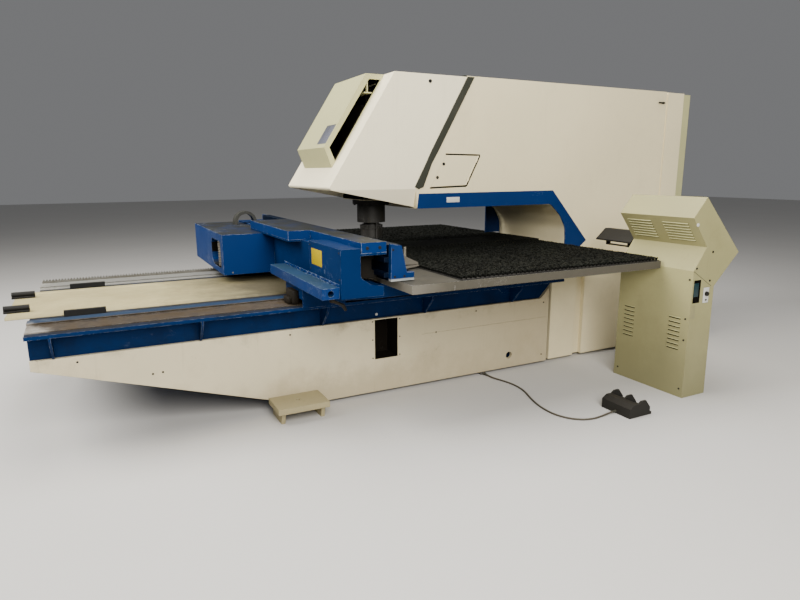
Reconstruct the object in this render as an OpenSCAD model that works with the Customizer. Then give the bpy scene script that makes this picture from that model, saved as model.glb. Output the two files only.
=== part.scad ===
// Single-head punching machine with a coordinate guide, millimetres.
// The origin is on the floor under the punch axis, +Y runs from the guide to the column,
// +X points across the machine to the console side and +Z is up.

/* [Bed] */
// Front end of the bed, measured from the punch axis
bed_front = -2300; // [-2450:10:-2250]
// Rear end of the bed's flange
bed_rear = 1218; // [1210:1:1260]
// Half the width of the bed without its side panels
bed_half = 702.5; // [690:0.5:715]
// Height of the bed's top face, on which the guide ways and the column stand
bed_top = 695; // [680:1:700]
// Thickness of the bed's top flange
flange_t = 20; // [14:1:24]
// How far the top flange stands out past the side panels
flange_out = 120; // [90:1:130]
// Height of the front end's lower edge
nose_z = 480; // [440:1:500]
// Where the belly of the bed changes its slope, along Y
belly_y = -1087; // [-1150:1:-1000]
// Height of the belly at that place
belly_z = 106; // [90:1:130]
// Where the belly comes down to the floor gap
sole_y = -750; // [-800:1:-700]
// Gap between the floor and the panels
floor_gap = 22; // [18:1:30]
// Distance between two flange ribs
rib_pitch = 752; // [700:1:780]
// Thickness of a flange rib
rib_t = 12; // [8:1:20]

/* [Side panels] */
// Thickness of a side panel with its folded edges
panel_t = 25; // [15:1:30]
// Height of a side panel's upper edge
panel_top = 533; // [500:1:550]
// Rear end of the side panels
panel_rear = 1180; // [1150:1:1190]
// Width of the service opening
service_w = 172; // [140:1:200]
// Height of the service opening
service_h = 274; // [200:1:276]
// Rear edge of the service opening
service_y = -144; // [-200:1:-100]
// Lower edge of the service opening
service_z = 252; // [240:1:255]
// Depth of the compartment behind the service opening
service_depth = 140; // [80:1:200]
// Diameter of the round cable hole
cable_hole_d = 54; // [40:1:70]

/* [Column] */
// Half the width of the frame, column and arm
arm_half = 459; // [440:1:470]
// Height of the arm's top face
arm_top = 2166; // [2150:1:2200]
// Height of the arm's lower face
arm_low = 1236; // [1232:1:1242]
// Rear face of the column
column_rear = 2633; // [2600:1:2700]
// How far the column's foot stands out past the bed on each side
foot_step = 9.5; // [2:0.5:18]
// Rear face of the column's foot
foot_rear = 2955; // [2950:1:3000]
// Half the width of the lower arm
lower_half = 170; // [150:1:180]
// Height of the lower arm's top face
lower_top = 840; // [820:1:845]
// Front end of the lower arm
lower_front = -124; // [-127:1:-118]
// Rear wall of the throat
throat_y = 1561; // [1558:1:1600]
// Depth of the rear cover along Y
rear_cover_d = 224; // [200:1:260]
// Depth of the rear duct along Y
rear_duct_d = 83; // [60:1:92]

/* [Head] */
// Sheet thickness of the hood
hood_t = 10; // [6:1:14]
// Slope of the hood's front, rise over run
hood_slope = 1.562; // [1.5:0.001:1.6]
// Half the width of the motor cover
cover_half = 292; // [270:1:310]
// Wall of the motor cover
cover_t = 8; // [4:1:12]
// Radius of the ram
ram_r = 60; // [50:1:70]
// Radius of the ram guide's barrel
guide_r = 108; // [100:1:120]
// Lower face of the ram guide
guide_low = 1118; // [1110:1:1140]
// Radius of the turning tool holder
holder_r = 82; // [70:1:88]
// Length of the tool holder
holder_len = 100; // [80:1:120]
// Radius of the punch's shank
punch_r = 21; // [15:1:26]
// Radius of the punch's tip
tip_r = 12; // [8:1:14]
// Stroke of the ram
stroke = 30; // [20:1:34]
// Radius of the turning die holder
die_holder_r = 74; // [60:1:76]
// Radius of the die
die_r = 44; // [36:1:50]
// Radial clearance of a turning fit
turn_gap = 0.05; // [0.02:0.01:0.08]

/* [Carriage] */
// Half the length of the carriage along X
carriage_half = 1327; // [1300:1:1340]
// Front face of the carriage's front box
front_box_y = -786; // [-800:1:-770]
// Front face of the beam's recessed wall
wall_y = -730; // [-740:1:-715]
// Rear face of the beam's wall, the bottom of the guide tunnel
tunnel_y = -671; // [-690:1:-665]
// Rear edge of the carriage's top cover
cover_rear = -516; // [-520:1:-514]
// Height of the carriage's lower edge
beam_low = 825; // [815:1:835]
// Height of the deck that carries the cover
deck_z = 1066; // [1055:1:1070]
// Height of the top cover
cover_h = 58; // [50:1:60]
// Front edge of the cover's wide part
wide_y = -815; // [-825:1:-805]
// Depth of the cover's narrow part
narrow_d = 149; // [130:1:153]
// Lower edge of the drive box
drive_low = 760; // [757:1:775]
// Front face of the drive box
drive_y = -1111; // [-1130:1:-1100]
// Inner end of the drive box
drive_x = -160; // [-180:1:-120]
// Sheet thickness of the cover and the drive box
sheet = 5; // [3:0.5:8]
// Height of the channel bar
bar_h = 61; // [50:1:64]
// Width of the channel bar
bar_w = 100; // [80:1:110]

/* [Rail] */
// Rear face of the transverse rail
rail_rear = -404; // [-410:1:-400]
// Front face of the transverse rail
rail_front = -504; // [-508:1:-500]
// Height of the rail's lower face
rail_low = 904; // [902.5:0.5:906]
// Height of the rail's top face
rail_top = 1105; // [1090:1:1110]
// Depth of the ledge that carries the clamps
ledge_d = 45; // [40:1:50]
// Height of the ledge
ledge_h = 46; // [40:1:50]
// Thickness of a rail end plate
end_t = 30; // [20:1:34]
// Distance between two clamps
clamp_pitch = 640; // [560:1:700]
// Place of the clamp next to the console side
clamp_x = 975; // [900:1:1100]
// Width of a clamp's upper jaw
jaw_w = 50; // [40:1:60]
// Gap between the brushes and the tips of the clamps
clamp_reach_gap = 8; // [5:1:12]
// Travel of the carriage to the front
travel_y = 1280; // [1200:1:1290]
// Travel of the rail to each side
travel_x = 1250; // [1200:1:1260]

/* [Table] */
// Height of the table plates
table_z = 900; // [895:0.5:901]
// Height of a table's folded edge
edge_h = 49; // [40:1:55]
// Inner edge of a side table
table_in = 196; // [192:1:205]
// Outer edge of a side table
table_out = 1500; // [1480:1:1520]
// Front edge of a side table
table_front = -446; // [-450:1:-440]
// Rear edge of the table on the console side
near_rear = 1465; // [1400:1:1465]
// Rear edge of the table on the far side
far_rear = 1545; // [1450:1:1550]
// Front edge of the brush fields
brush_front = -128; // [-130:1:-110]
// Height of the brush tips above the table
brush_h = 25; // [20:1:28]
// Distance between two rows of brushes
brush_pitch = 32; // [26:1:44]
// Width of a row of brushes
brush_w = 18; // [12:1:22]
// Thickness of the board that holds the brushes
board_t = 5; // [4:1:8]

/* [Console] */
// Left side of the console
console_x = 1155; // [1140:1:1200]
// Width of the console
console_w = 594; // [560:1:620]
// Front face of the console's foot
console_y = 1475; // [1472:1:1500]

/* [Foot switch] */
// Place of the foot switch along X
pedal_x = 1725; // [1650:1:1800]
// Place of the foot switch along Y
pedal_y = 985; // [900:1:1050]
// Diameter of the foot switch's cord
cord_d = 12; // [8:0.5:16]

/* [Hidden] */

$fn = 48;

// Colours of the real finishes
white = [0.87, 0.86, 0.80];
cream = [0.80, 0.79, 0.60];
blue = [0.02, 0.18, 0.52];
dark = [0.08, 0.08, 0.08];
steel = [0.55, 0.55, 0.53];
grease = [0.33, 0.29, 0.23];

// Gap between pieces that move against each other
run_gap = 0.3;
// Depth that a cutting tool runs past a face
past = 5;

// Basic shapes
module box(x, y, z) {
    translate([x[0], y[0], z[0]])
        cube([x[1] - x[0], y[1] - y[0], z[1] - z[0]]);
}

// A side outline, given as [y, z] points, drawn out along X
module across(x0, x1) {
    translate([x0, 0, 0])
        rotate([90, 0, 90])
            linear_extrude(x1 - x0)
                children();
}

// A front outline, given as [x, z] points, drawn out along Y
module along(y0, y1) {
    translate([0, y1, 0])
        rotate([90, 0, 0])
            linear_extrude(y1 - y0)
                children();
}

// A round bar along X
module bar_x(x0, x1, y, z, r) {
    translate([x0, y, z])
        rotate([0, 90, 0])
            cylinder(r = r, h = x1 - x0);
}

// A round bar along Y
module bar_y(y0, y1, x, z, r) {
    translate([x, y0, z])
        rotate([-90, 0, 0])
            cylinder(r = r, h = y1 - y0);
}

// The same shape on both sides of the machine
module both_sides() {
    children();
    mirror([1, 0, 0])
        children();
}

// An outline with round corners, each corner given as [a, b, radius]
function unit(v) = v / norm(v);
function arc_corner(p, q, r, rad, steps) =
    let (a = unit(p - q),
        b = unit(r - q),
        half = acos(a * b) / 2,
        mid = q + unit(a + b) * rad / sin(half),
        s = q + a * rad / tan(half) - mid,
        e = q + b * rad / tan(half) - mid,
        a0 = atan2(s.y, s.x),
        step = atan2(e.y, e.x) - a0,
        turn = step > 180 ? step - 360 : (step < -180 ? step + 360 : step))
    [for (i = [0:steps]) mid + rad * [cos(a0 + turn * i / steps), sin(a0 + turn * i / steps)]];
function flat2(p) = [p[0], p[1]];
function round_corners(pts, steps = 5) =
    let (n = len(pts))
    [for (i = [0:n - 1])
        each (pts[i][2] == undef
            ? [flat2(pts[i])]
            : arc_corner(flat2(pts[(i + n - 1) % n]), flat2(pts[i]), flat2(pts[(i + 1) % n]),
                pts[i][2], steps))];

// An outline whose sides are moved to their right, side i by d[i]
function side_normal(a, b) = unit([b.y - a.y, a.x - b.x]);
function inset(p, d) =
    let (n = len(p))
    [for (i = [0:n - 1])
        let (k = (i + n - 1) % n,
            n1 = side_normal(p[k], p[i]),
            n2 = side_normal(p[i], p[(i + 1) % n]),
            c = n1 * n2)
        p[i] + (n1 * (d[k] - c * d[i]) + n2 * (d[i] - c * d[k])) / (1 - c * c)];

// Bed and floor parts
panel_x = bed_half + panel_t;
flange_x = panel_x + flange_out;
foot_half = bed_half + foot_step;
way_in = 521;
way_out = 788;
way_t = 6;
way_rise = 21;
way_rear = -300;
way_top = bed_top + way_rise;
band_slant = 117;
// Place of the cable hole, as [y, z]
cable_hole = [812, 118];
// The seam along the rear half of a side panel, front end and height
seam_start = 45;
seam_z = 383;

module bed_profile() {
    polygon([[bed_front, bed_top - flange_t], [bed_front, nose_z], [belly_y, belly_z],
        [sole_y, floor_gap], [panel_rear, floor_gap], [panel_rear, panel_top],
        [bed_rear - band_slant, panel_top], [bed_rear, panel_top + band_slant],
        [bed_rear, bed_top - flange_t]]);
}

module flange_rib(y) {
    along(y - rib_t / 2, y + rib_t / 2)
        polygon([[bed_half, bed_top - flange_t], [flange_x - 4, bed_top - flange_t],
            [flange_x - 4, bed_top - flange_t - 22], [bed_half + panel_t + 8, panel_top + 2],
            [bed_half, panel_top + 2]]);
}

module service_cut(x0, x1, grow) {
    box([x0, x1], [service_y - service_w - grow, service_y + grow],
        [service_z - grow, service_z + service_h + min(grow, 0)]);
}

module machine_bed() {
    color(blue) difference() {
        across(-bed_half, bed_half)
            bed_profile();
        both_sides()
            service_cut(bed_half - service_depth, bed_half + past, 6);
        both_sides()
            bar_x(bed_half - 60, bed_half + past, cable_hole.x, cable_hole.y, cable_hole_d / 2);
    }
}

module bed_flange() {
    first_rib = bed_front + 112;
    ribs = floor((bed_rear - band_slant - first_rib) / rib_pitch);
    color(blue) union() {
        box([-flange_x, flange_x], [bed_front, bed_rear], [bed_top - flange_t, bed_top]);
        both_sides()
            for (i = [0:ribs])
                flange_rib(first_rib + i * rib_pitch);
    }
}

module base_soles() {
    sole_w = 80;
    cross_w = 120;
    sole_x = bed_half - 142.5;
    sole_front = sole_y + 10;
    sole_rear = foot_rear - 55;
    cross_pitch = (sole_rear - sole_front - cross_w) / 4;
    cord_y = cord_points[0].y;
    color(steel) union() {
        both_sides()
            box([sole_x, sole_x + sole_w], [sole_front, sole_rear], [0, floor_gap]);
        for (i = [0:4])
            box([-sole_x - past, sole_x + past],
                [sole_front + i * cross_pitch, sole_front + i * cross_pitch + cross_w],
                [0, floor_gap]);
        box([sole_x, panel_x], [cord_y - 20, cord_y + 20], [0, floor_gap]);
        bar_x(panel_x, panel_x + 22, cord_y, cord_z0, cord_d / 2 + 5);
    }
}

module side_panel() {
    across(bed_half, panel_x)
        difference() {
            polygon([[bed_front, panel_top], [bed_front, nose_z], [belly_y, belly_z],
                [sole_y, floor_gap], [panel_rear, floor_gap],
                [panel_rear, panel_top + panel_rear - bed_rear + band_slant],
                [bed_rear - band_slant, panel_top]]);
            translate([service_y - service_w, service_z])
                square([service_w, service_h]);
            translate(cable_hole)
                circle(r = cable_hole_d / 2);
        }
}

module side_panels() {
    color(white) both_sides()
        difference() {
            side_panel();
            box([panel_x - 2, panel_x + past], [seam_start, panel_rear - 13],
                [seam_z - 1, seam_z + 2]);
        }
}

bracket_y0 = -1056;
bracket_y1 = -732;
bracket_t = 36;
bracket_x1 = 955;
bracket_z = 108;
anchor_x = 835;
anchor_y = -899;
anchor_hole_r = 14;

module foot_brackets() {
    color(cream) both_sides()
        difference() {
            union() {
                box([panel_x, bracket_x1], [bracket_y0, bracket_y1],
                    [bracket_z - bracket_t, bracket_z]);
                for (y = [bracket_y0 + 24, bracket_y1 - 48])
                    along(y, y + 24)
                        polygon([[panel_x, 0], [bracket_x1 - 40, 0], [bracket_x1 - 15, bracket_z - 20],
                            [panel_x, bracket_z - 20]]);
            }
            translate([anchor_x, anchor_y, bracket_z - bracket_t - past])
                cylinder(r = anchor_hole_r, h = bracket_t + 2 * past);
        }
}

// Column, arm and throat
module column_foot() {
    gap_y = 1470;
    gap_w = 90;
    color(white) difference() {
        box([-foot_half, foot_half], [bed_rear + run_gap, foot_rear], [floor_gap, bed_top]);
        both_sides()
            box([foot_half - 35, foot_half + past], [gap_y, gap_y + gap_w],
                [floor_gap - past, bed_top - 15]);
    }
}

// The seam between the arm and the hood runs down through these points
seam = [[563, arm_top], [299, 1612], [144, 1376], [153, arm_low]];
function seam_y(z) = z > seam[1].y
    ? seam[1].x + (z - seam[1].y) * (seam[0].x - seam[1].x) / (seam[0].y - seam[1].y)
    : seam[2].x + (z - seam[2].y) * (seam[3].x - seam[2].x) / (seam[3].y - seam[2].y);
trim_pts = [[167, 1342], [1406, 1345], [1796, 922], [1732, bed_top + 179],
    [throat_y, bed_top + 179], [throat_y, 935], [1554, 1043, 150], [1493, 1144, 150],
    [1389, arm_low, 60], [153, arm_low]];
trim_t = 10;
hatch_pts = [[391, 1613], [674, 1609], [564, 1398], [268, 1388]];
hatch_gap = 10;
hatch_t = 8;
pocket_x = arm_half - hatch_t - run_gap;
nose_y = -150;
nose_half = 190;
nose_low = 1290;
nose_top = arm_top - 206;

module c_profile() {
    polygon(round_corners([[lower_front, bed_top], [column_rear, bed_top], [column_rear, arm_top],
        seam[0], seam[1], seam[2], seam[3], [1389, arm_low, 60], [1493, 1144, 150],
        [1554, 1043, 150], [throat_y, 935], [throat_y, lower_top], [-70, lower_top],
        [lower_front, lower_top - 50]]));
}

module hatch_outline(grow) {
    polygon(inset(hatch_pts, [-grow, -grow, -grow, -2 * run_gap]));
}

// The hatch turns on a round rod along its rear edge, held in two lugs of the frame
hinge_foot = hatch_pts[2];
hinge_rise = hatch_pts[1] - hinge_foot;
hinge_len = norm(hinge_rise);
hinge_r = 4;
lug_r = 7;
lug_w = 24;
lug_end = 30;

module on_hinge() {
    translate([arm_half, hinge_foot.x, hinge_foot.y])
        rotate([atan2(-hinge_rise.x, hinge_rise.y), 0, 0])
            children();
}

module hinge_lugs(r, gap) {
    on_hinge()
        for (z = [lug_end, hinge_len - lug_end - lug_w])
            translate([0, 0, z - gap])
                union() {
                    cylinder(r = r, h = lug_w + 2 * gap);
                    translate([-hatch_t - run_gap, 0, 0])
                        cube([hatch_t + run_gap, hatch_gap + 2, lug_w + 2 * gap]);
                }
}

module hinge_rod(r) {
    on_hinge()
        cylinder(r = r, h = hinge_len);
}

module frame_weldment() {
    difference() {
        union() {
            intersection() {
                across(-arm_half, arm_half)
                    c_profile();
                union() {
                    box([-arm_half, arm_half], [-600, column_rear], [lower_top, arm_top]);
                    box([-arm_half, arm_half], [throat_y, column_rear], [bed_top, arm_top]);
                    box([-lower_half, lower_half], [-600, throat_y + past], [bed_top, arm_top]);
                }
            }
            across(-nose_half, nose_half)
                polygon([[600, nose_low], [nose_y, nose_low], [nose_y, 1800],
                    [nose_y + 160, nose_top], [600, nose_top]]);
        }
        both_sides()
            across(arm_half - trim_t, arm_half + past)
                polygon(round_corners(trim_pts));
        across(pocket_x, arm_half + past)
            hatch_outline(hatch_gap);
        translate([0, 0, nose_low - past])
            cylinder(r = ram_r + 3, h = 420);
        both_sides()
            across(lower_half - 26, lower_half + past)
                polygon([[180, bed_top + 25], [1400, bed_top + 25], [1400, lower_top - 30],
                    [180, lower_top - 30]]);
    }
}

module c_frame() {
    color(white) difference() {
        union() {
            frame_weldment();
            hinge_lugs(lug_r, 0);
        }
        hinge_rod(hinge_r + turn_gap);
    }
}

module throat_trims() {
    guard_y = 1395;
    guard_z = table_z + brush_h + 5;
    color(blue) union() {
        both_sides()
            across(arm_half - trim_t, arm_half)
                polygon(round_corners(trim_pts));
        mirror([1, 0, 0])
            across(arm_half - trim_t, arm_half)
                polygon([[guard_y, guard_z], [throat_y, guard_z], [throat_y, 1130],
                    [1470, arm_low], [guard_y, arm_low]]);
    }
}

// Head
hood_top = arm_top - 7;
hood_brow = -19;
hood_chin_z = 1390;
function hood_y(z) = hood_brow - (hood_top - z) / hood_slope;
chin_y = hood_y(hood_chin_z);
crease_z = 1376;
taper = 58;
hood_pts = [[seam_y(hood_top), hood_top], [hood_brow, hood_top], [chin_y, hood_chin_z, 14],
    [chin_y + 14, crease_z], [seam_y(arm_low + 10), arm_low + 10], seam[2], seam[1]];
hood_inner = [[seam[0].x + 60, hood_top - hood_t],
    [hood_brow + hood_t * 0.55, hood_top - hood_t], [chin_y + hood_t * 1.3, hood_chin_z],
    [chin_y + 30, crease_z - 60], [seam[3].x + 60, 1100], [seam[3].x + 60, crease_z],
    [seam[1].x + 60, seam[1].y]];

module hood_section(t) {
    polygon([[-arm_half + t, hood_top + 50], [-arm_half + t, crease_z],
        [-arm_half + t + taper, crease_z - 140], [arm_half - t - taper, crease_z - 140],
        [arm_half - t, crease_z], [arm_half - t, hood_top + 50]]);
}

module head_hood() {
    window_z = hood_top - 559;
    window_low = hood_y(window_z);
    color(white) difference() {
        intersection() {
            across(-arm_half, arm_half)
                polygon(round_corners(hood_pts));
            along(-700, 700)
                hood_section(0);
        }
        intersection() {
            across(-arm_half, arm_half)
                polygon(hood_inner);
            along(-700, 700)
                hood_section(hood_t);
        }
        box([-cover_half + 40, cover_half - 40], [window_low - 60, hood_brow - 20],
            [window_z, hood_top - 59]);
    }
}

seal_w = 56;
seal_t = 9;
// The strip's lower half, from its bend down to its tip and up again
strip_low = [[324, 1642], [269, 1552], [202, 1389], [165, 1375], [134, 1390], [222, 1552],
    [324 - seal_w, 1642]];
module seam_strip() {
    across(arm_half, arm_half + seal_t)
        polygon(concat([[seam[0].x, hood_top], [seam[0].x + seal_w, hood_top]], strip_low));
}

module hood_seals() {
    color(dark) union() {
        both_sides()
            seam_strip();
        box([-arm_half, arm_half], [seam_y(hood_top) - seal_w / 2, seam_y(hood_top)],
            [hood_top, hood_top + 9]);
    }
}

lock_r = 12;
hood_lock_y = 254;
hood_lock_z = hood_top - 47;
module hood_lock() {
    color(dark) difference() {
        bar_x(arm_half + run_gap, arm_half + 7, hood_lock_y, hood_lock_z, lock_r);
        box([arm_half + 4, arm_half + 8], [hood_lock_y - 9, hood_lock_y + 9],
            [hood_lock_z - 1.5, hood_lock_z + 1.5]);
    }
}

cover_z = hood_top - 634;
cover_nose = [-478, hood_top - 499];
cover_brow = hood_brow - 139;
slot_depth = 588;
slot_z = [hood_top - slot_depth, hood_top - 36];
cover_pts = [[hood_brow, hood_top], [cover_brow, hood_top], cover_nose,
    [hood_y(cover_z), cover_z]];
slot_pts = [[cover_brow + 23, slot_z[1]], [hood_y(slot_z[1]) - 8, slot_z[1]],
    [hood_y(slot_z[0]) - 4, slot_z[0]], cover_nose + [39, 0]];

module motor_cover() {
    floor_z = cover_z + cover_t * 1.2;
    inner = [[hood_brow + 60, hood_top - cover_t],
        [cover_brow + cover_t * 0.5, hood_top - cover_t], cover_nose + [cover_t * 1.3, 2],
        [hood_y(cover_z) + cover_t * 0.4, floor_z], [hood_y(cover_z) + 60, floor_z]];
    color(cream) difference() {
        across(-cover_half, cover_half)
            polygon(cover_pts);
        across(-cover_half + cover_t, cover_half - cover_t)
            polygon(inner);
        across(-cover_half - past, cover_half + past)
            polygon(slot_pts);
    }
    cover_bracket();
}

module cover_bracket() {
    wall_in = cover_half - cover_t;
    z0 = hood_top - 129;
    color(cream) union() {
        box([-wall_in, wall_in], [cover_brow - 12, cover_brow + 46], [z0, z0 + cover_t]);
        both_sides()
            box([wall_in - 20, wall_in + 1], [cover_brow + 8, cover_brow + 16],
                [z0, hood_top - cover_t + 1]);
    }
}

module index_motor() {
    z0 = nose_top;
    color(dark) union() {
        translate([0, 60, z0])
            cylinder(r = 85, h = 120);
        translate([0, 60, z0 + 120])
            cylinder(r = 60, h = 50);
        box([-100, 100], [nose_y + 160, 200], [z0, z0 + 18]);
    }
}

module side_hatch() {
    color(white) difference() {
        union() {
            difference() {
                across(arm_half - hatch_t, arm_half)
                    polygon(hatch_pts);
                hinge_lugs(lug_r + 1.5, 2 * run_gap);
            }
            hinge_rod(hinge_r);
        }
        for (p = hatch_lock_places)
            bar_x(arm_half - hatch_t - past, arm_half + past, p.x, p.y, lock_r + turn_gap - 4);
    }
}

hatch_lock_places = [[372, 1550], [320, 1455]];
module quarter_lock(p) {
    color(dark) difference() {
        union() {
            bar_x(arm_half - hatch_t + 1, arm_half + 3, p.x, p.y, lock_r - 4);
            bar_x(arm_half + run_gap, arm_half + 4, p.x, p.y, lock_r - 1);
        }
        box([arm_half + 3, arm_half + past], [p.x - 1.5, p.x + 1.5], [p.y - 7, p.y + 7]);
    }
}

module hatch_lock_upper() {
    quarter_lock(hatch_lock_places[0]);
}

module hatch_lock_lower() {
    quarter_lock(hatch_lock_places[1]);
}

module hatch_seal() {
    seal_h = 4;
    seal_w = 7;
    front_cut = [[8, 40], [-60, 40], [-60, -40], [8, -40]];
    color(dark) difference() {
        across(pocket_x, pocket_x + seal_h)
            difference() {
                hatch_outline(hatch_gap);
                hatch_outline(hatch_gap - seal_w);
                polygon([hatch_pts[0] + front_cut[0], hatch_pts[0] + front_cut[1],
                    hatch_pts[3] + front_cut[2], hatch_pts[3] + front_cut[3]]);
            }
        hinge_lugs(lug_r, run_gap);
    }
}

module rear_cover() {
    y0 = column_rear;
    color(white) union() {
        box([-arm_half + 12, arm_half - 12], [y0, y0 + 24], [bed_top, arm_top - 6]);
        box([-arm_half, arm_half], [y0 + 24, y0 + rear_cover_d], [bed_top, arm_top - 4]);
    }
}

module rear_latch() {
    y = column_rear - 40;
    z = arm_top - 94;
    color(dark) union() {
        bar_x(arm_half + run_gap, arm_half + 12, y, z, 9);
        box([arm_half + 8, arm_half + 16], [y - 60, y + 12], [z - 6, z + 6]);
    }
}

module rear_duct() {
    y0 = column_rear + rear_cover_d;
    color(cream) difference() {
        box([-arm_half + 2, arm_half - 2], [y0, y0 + rear_duct_d], [bed_top, arm_top - 12]);
        box([-arm_half + 60, arm_half - 60], [y0 + rear_duct_d - 8, y0 + rear_duct_d + past],
            [bed_top + 60, arm_top - 80]);
    }
}

// Punching head and die
module ram_guide() {
    color(steel) difference() {
        union() {
            translate([0, 0, guide_low])
                cylinder(r = guide_r, h = nose_low - guide_low);
            translate([0, 0, nose_low - 34])
                cylinder(r = guide_r + 34, h = 34);
            for (a = [22.5:45:359])
                rotate(a)
                    translate([guide_r + 18, 0, nose_low - 44])
                        cylinder(r = 9, h = 10, $fn = 6);
        }
        translate([0, 0, guide_low - past])
            cylinder(r = ram_r + turn_gap, h = nose_low - guide_low + 2 * past);
    }
}

ram_low = guide_low - 16;
holder_top = ram_low - run_gap;
holder_low = holder_top - holder_len;
spigot_r = 28;
spigot_len = 60;
sheet_z = table_z + brush_h;
die_top = sheet_z - 2;
punch_low = sheet_z + 12;

module ram() {
    color(steel) difference() {
        translate([0, 0, ram_low])
            cylinder(r = ram_r, h = nose_low - ram_low + 300);
        translate([0, 0, ram_low - past])
            cylinder(r = spigot_r + turn_gap, h = spigot_len + past);
    }
}

module tool_holder() {
    teeth = 40;
    color(steel) difference() {
        union() {
            translate([0, 0, holder_low])
                cylinder(r = holder_r, h = holder_len - 34);
            translate([0, 0, holder_top - 34])
                linear_extrude(28)
                    union() {
                        circle(r = holder_r + 2);
                        for (i = [0:teeth - 1])
                            rotate(i * 360 / teeth)
                                translate([holder_r + 1, -3])
                                    square([5, 6]);
                    }
            translate([0, 0, holder_top - 6])
                cylinder(r = holder_r - 10, h = 6);
            translate([0, 0, holder_top])
                cylinder(r = spigot_r, h = spigot_len - 4);
        }
        translate([0, 0, holder_low - past])
            cylinder(r = punch_r + 1, h = 40 + past);
        for (a = [0, 120, 240])
            rotate(a)
                translate([holder_r - 22, 0, holder_low - past])
                    cylinder(r = 7, h = 25 + past);
    }
}

module punch() {
    color(steel) rotate_extrude()
            polygon([[0, punch_low], [tip_r, punch_low], [tip_r, punch_low + 22],
                [punch_r, punch_low + 32], [punch_r, holder_low + 40], [0, holder_low + 40]]);
}

module stripper() {
    plate_z = sheet_z + 8;
    rod_r = 7;
    rod_x = guide_r - rod_r - 1;
    color(steel) union() {
        difference() {
            union() {
                translate([0, 0, plate_z])
                    cylinder(r = die_holder_r - 4, h = 8);
                box([-rod_x - 12, rod_x + 12], [-16, 16], [plate_z, plate_z + 8]);
            }
            translate([0, 0, plate_z - past])
                cylinder(r = punch_r + 3, h = 8 + 2 * past);
        }
        both_sides()
            translate([rod_x, 0, plate_z])
                cylinder(r = rod_r, h = guide_low - plate_z);
    }
}

module die_base() {
    base_top = table_z - 22;
    color(steel) difference() {
        union() {
            translate([0, 0, lower_top])
                cylinder(r = 112, h = base_top - lower_top - 12);
            translate([0, 0, lower_top])
                cylinder(r = 92, h = base_top - lower_top);
        }
        translate([0, 0, lower_top - past])
            cylinder(r = spigot_r + turn_gap, h = base_top - lower_top + 2 * past);
    }
}

module die_holder() {
    low = table_z - 22 + run_gap;
    color(steel) difference() {
        union() {
            translate([0, 0, low])
                cylinder(r = die_holder_r, h = die_top - 8 - low);
            translate([0, 0, lower_top + 4])
                cylinder(r = spigot_r, h = low - lower_top);
        }
        translate([0, 0, lower_top - past])
            cylinder(r = tip_r + 5, h = 200);
        translate([0, 0, die_top - 22])
            cylinder(r = die_r, h = 40);
        for (a = [60, 180, 300])
            rotate(a)
                translate([die_holder_r - 14, 0, die_top - 8 - 10])
                    cylinder(r = 5, h = 12);
    }
}

module die() {
    color(steel) difference() {
        translate([0, 0, die_top - 22])
            cylinder(r = die_r, h = 22);
        translate([0, 0, die_top - 22 - past])
            cylinder(r = tip_r + 0.6, h = 22 + 2 * past);
    }
}

// Brushes: a board with rows of tufts
module brush_rows(x0, x1, y0, y1) {
    rows = floor((y1 - y0 - brush_w) / brush_pitch);
    box([x0, x1], [y0, y1], [table_z, table_z + board_t]);
    for (i = [0:rows])
        box([x0 + 4, x1 - 4], [y0 + i * brush_pitch, y0 + i * brush_pitch + brush_w],
            [table_z + board_t - 0.5, table_z + brush_h]);
}

module centre_table() {
    rear = throat_y - 11;
    half = table_in - 6;
    front = lower_front + 2;
    color(dark) difference() {
        union() {
            box([-half, half], [front, rear], [table_z - 8, table_z]);
            both_sides()
                box([lower_half - 30, lower_half - 18], [130, rear - 20], [lower_top, table_z - 7]);
            brush_rows(-half, half, 120, rear - 10);
        }
        translate([0, 0, table_z - 20])
            cylinder(r = die_holder_r + 4, h = 40);
    }
}

// Guide of the carriage on the bed
module guide_way() {
    along(bed_front, way_rear)
        polygon([[way_in, bed_top], [way_out, bed_top], [way_out, bed_top + way_t],
            [640, bed_top + way_t], [634, bed_top + way_t + 6], [637, way_top], [548, way_top],
            [551, bed_top + way_t + 6], [545, bed_top + way_t], [way_in, bed_top + way_t]]);
}

module guide_ways() {
    color(grease) both_sides()
        guide_way();
}

module y_rack() {
    pitch = 20;
    teeth = floor((way_rear - bed_front - 10) / pitch);
    color(steel) translate([-way_out - 40, 0, 0])
        across(0, 30)
            union() {
                translate([bed_front, bed_top])
                    square([teeth * pitch, 18]);
                for (i = [0:teeth - 1])
                    translate([bed_front + i * pitch, bed_top + 17.9])
                        polygon([[3, 0], [17, 0], [13, 10], [7, 10]]);
            }
}

module centre_cover() {
    half = 400;
    color(cream) along(bed_front - 120, lower_front - 6)
        polygon([[-half, bed_top], [half, bed_top], [half, bed_top + 3], [half - 9, bed_top + 14],
            [half - 60, bed_top + 14], [half - 66, bed_top + 10], [66 - half, bed_top + 10],
            [60 - half, bed_top + 14], [9 - half, bed_top + 14], [-half, bed_top + 3]]);
}

cam_w = 26;
cam_h = 34;
cam_near_x = 410;
cam_near_y = -2129;
cam_near_len = 218;
cam_far_x = 488;
cam_far_y = -2114;
cam_far_len = 223;
module cam_bars() {
    color(dark) union() {
        box([cam_near_x, cam_near_x + cam_w], [cam_near_y, cam_near_y + cam_near_len],
            [bed_top, bed_top + cam_h]);
        box([-cam_far_x - cam_w, -cam_far_x], [cam_far_y, cam_far_y + cam_far_len],
            [bed_top, bed_top + cam_h]);
    }
}

module end_buffers() {
    color(dark) both_sides()
        union() {
            box([205, 255], [bed_front - 139, bed_front - 9], [bed_top + 10, bed_top + 22]);
            bar_y(bed_front - 139, bed_front - 9, 230, bed_top + 36, 16);
        }
}

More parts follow.
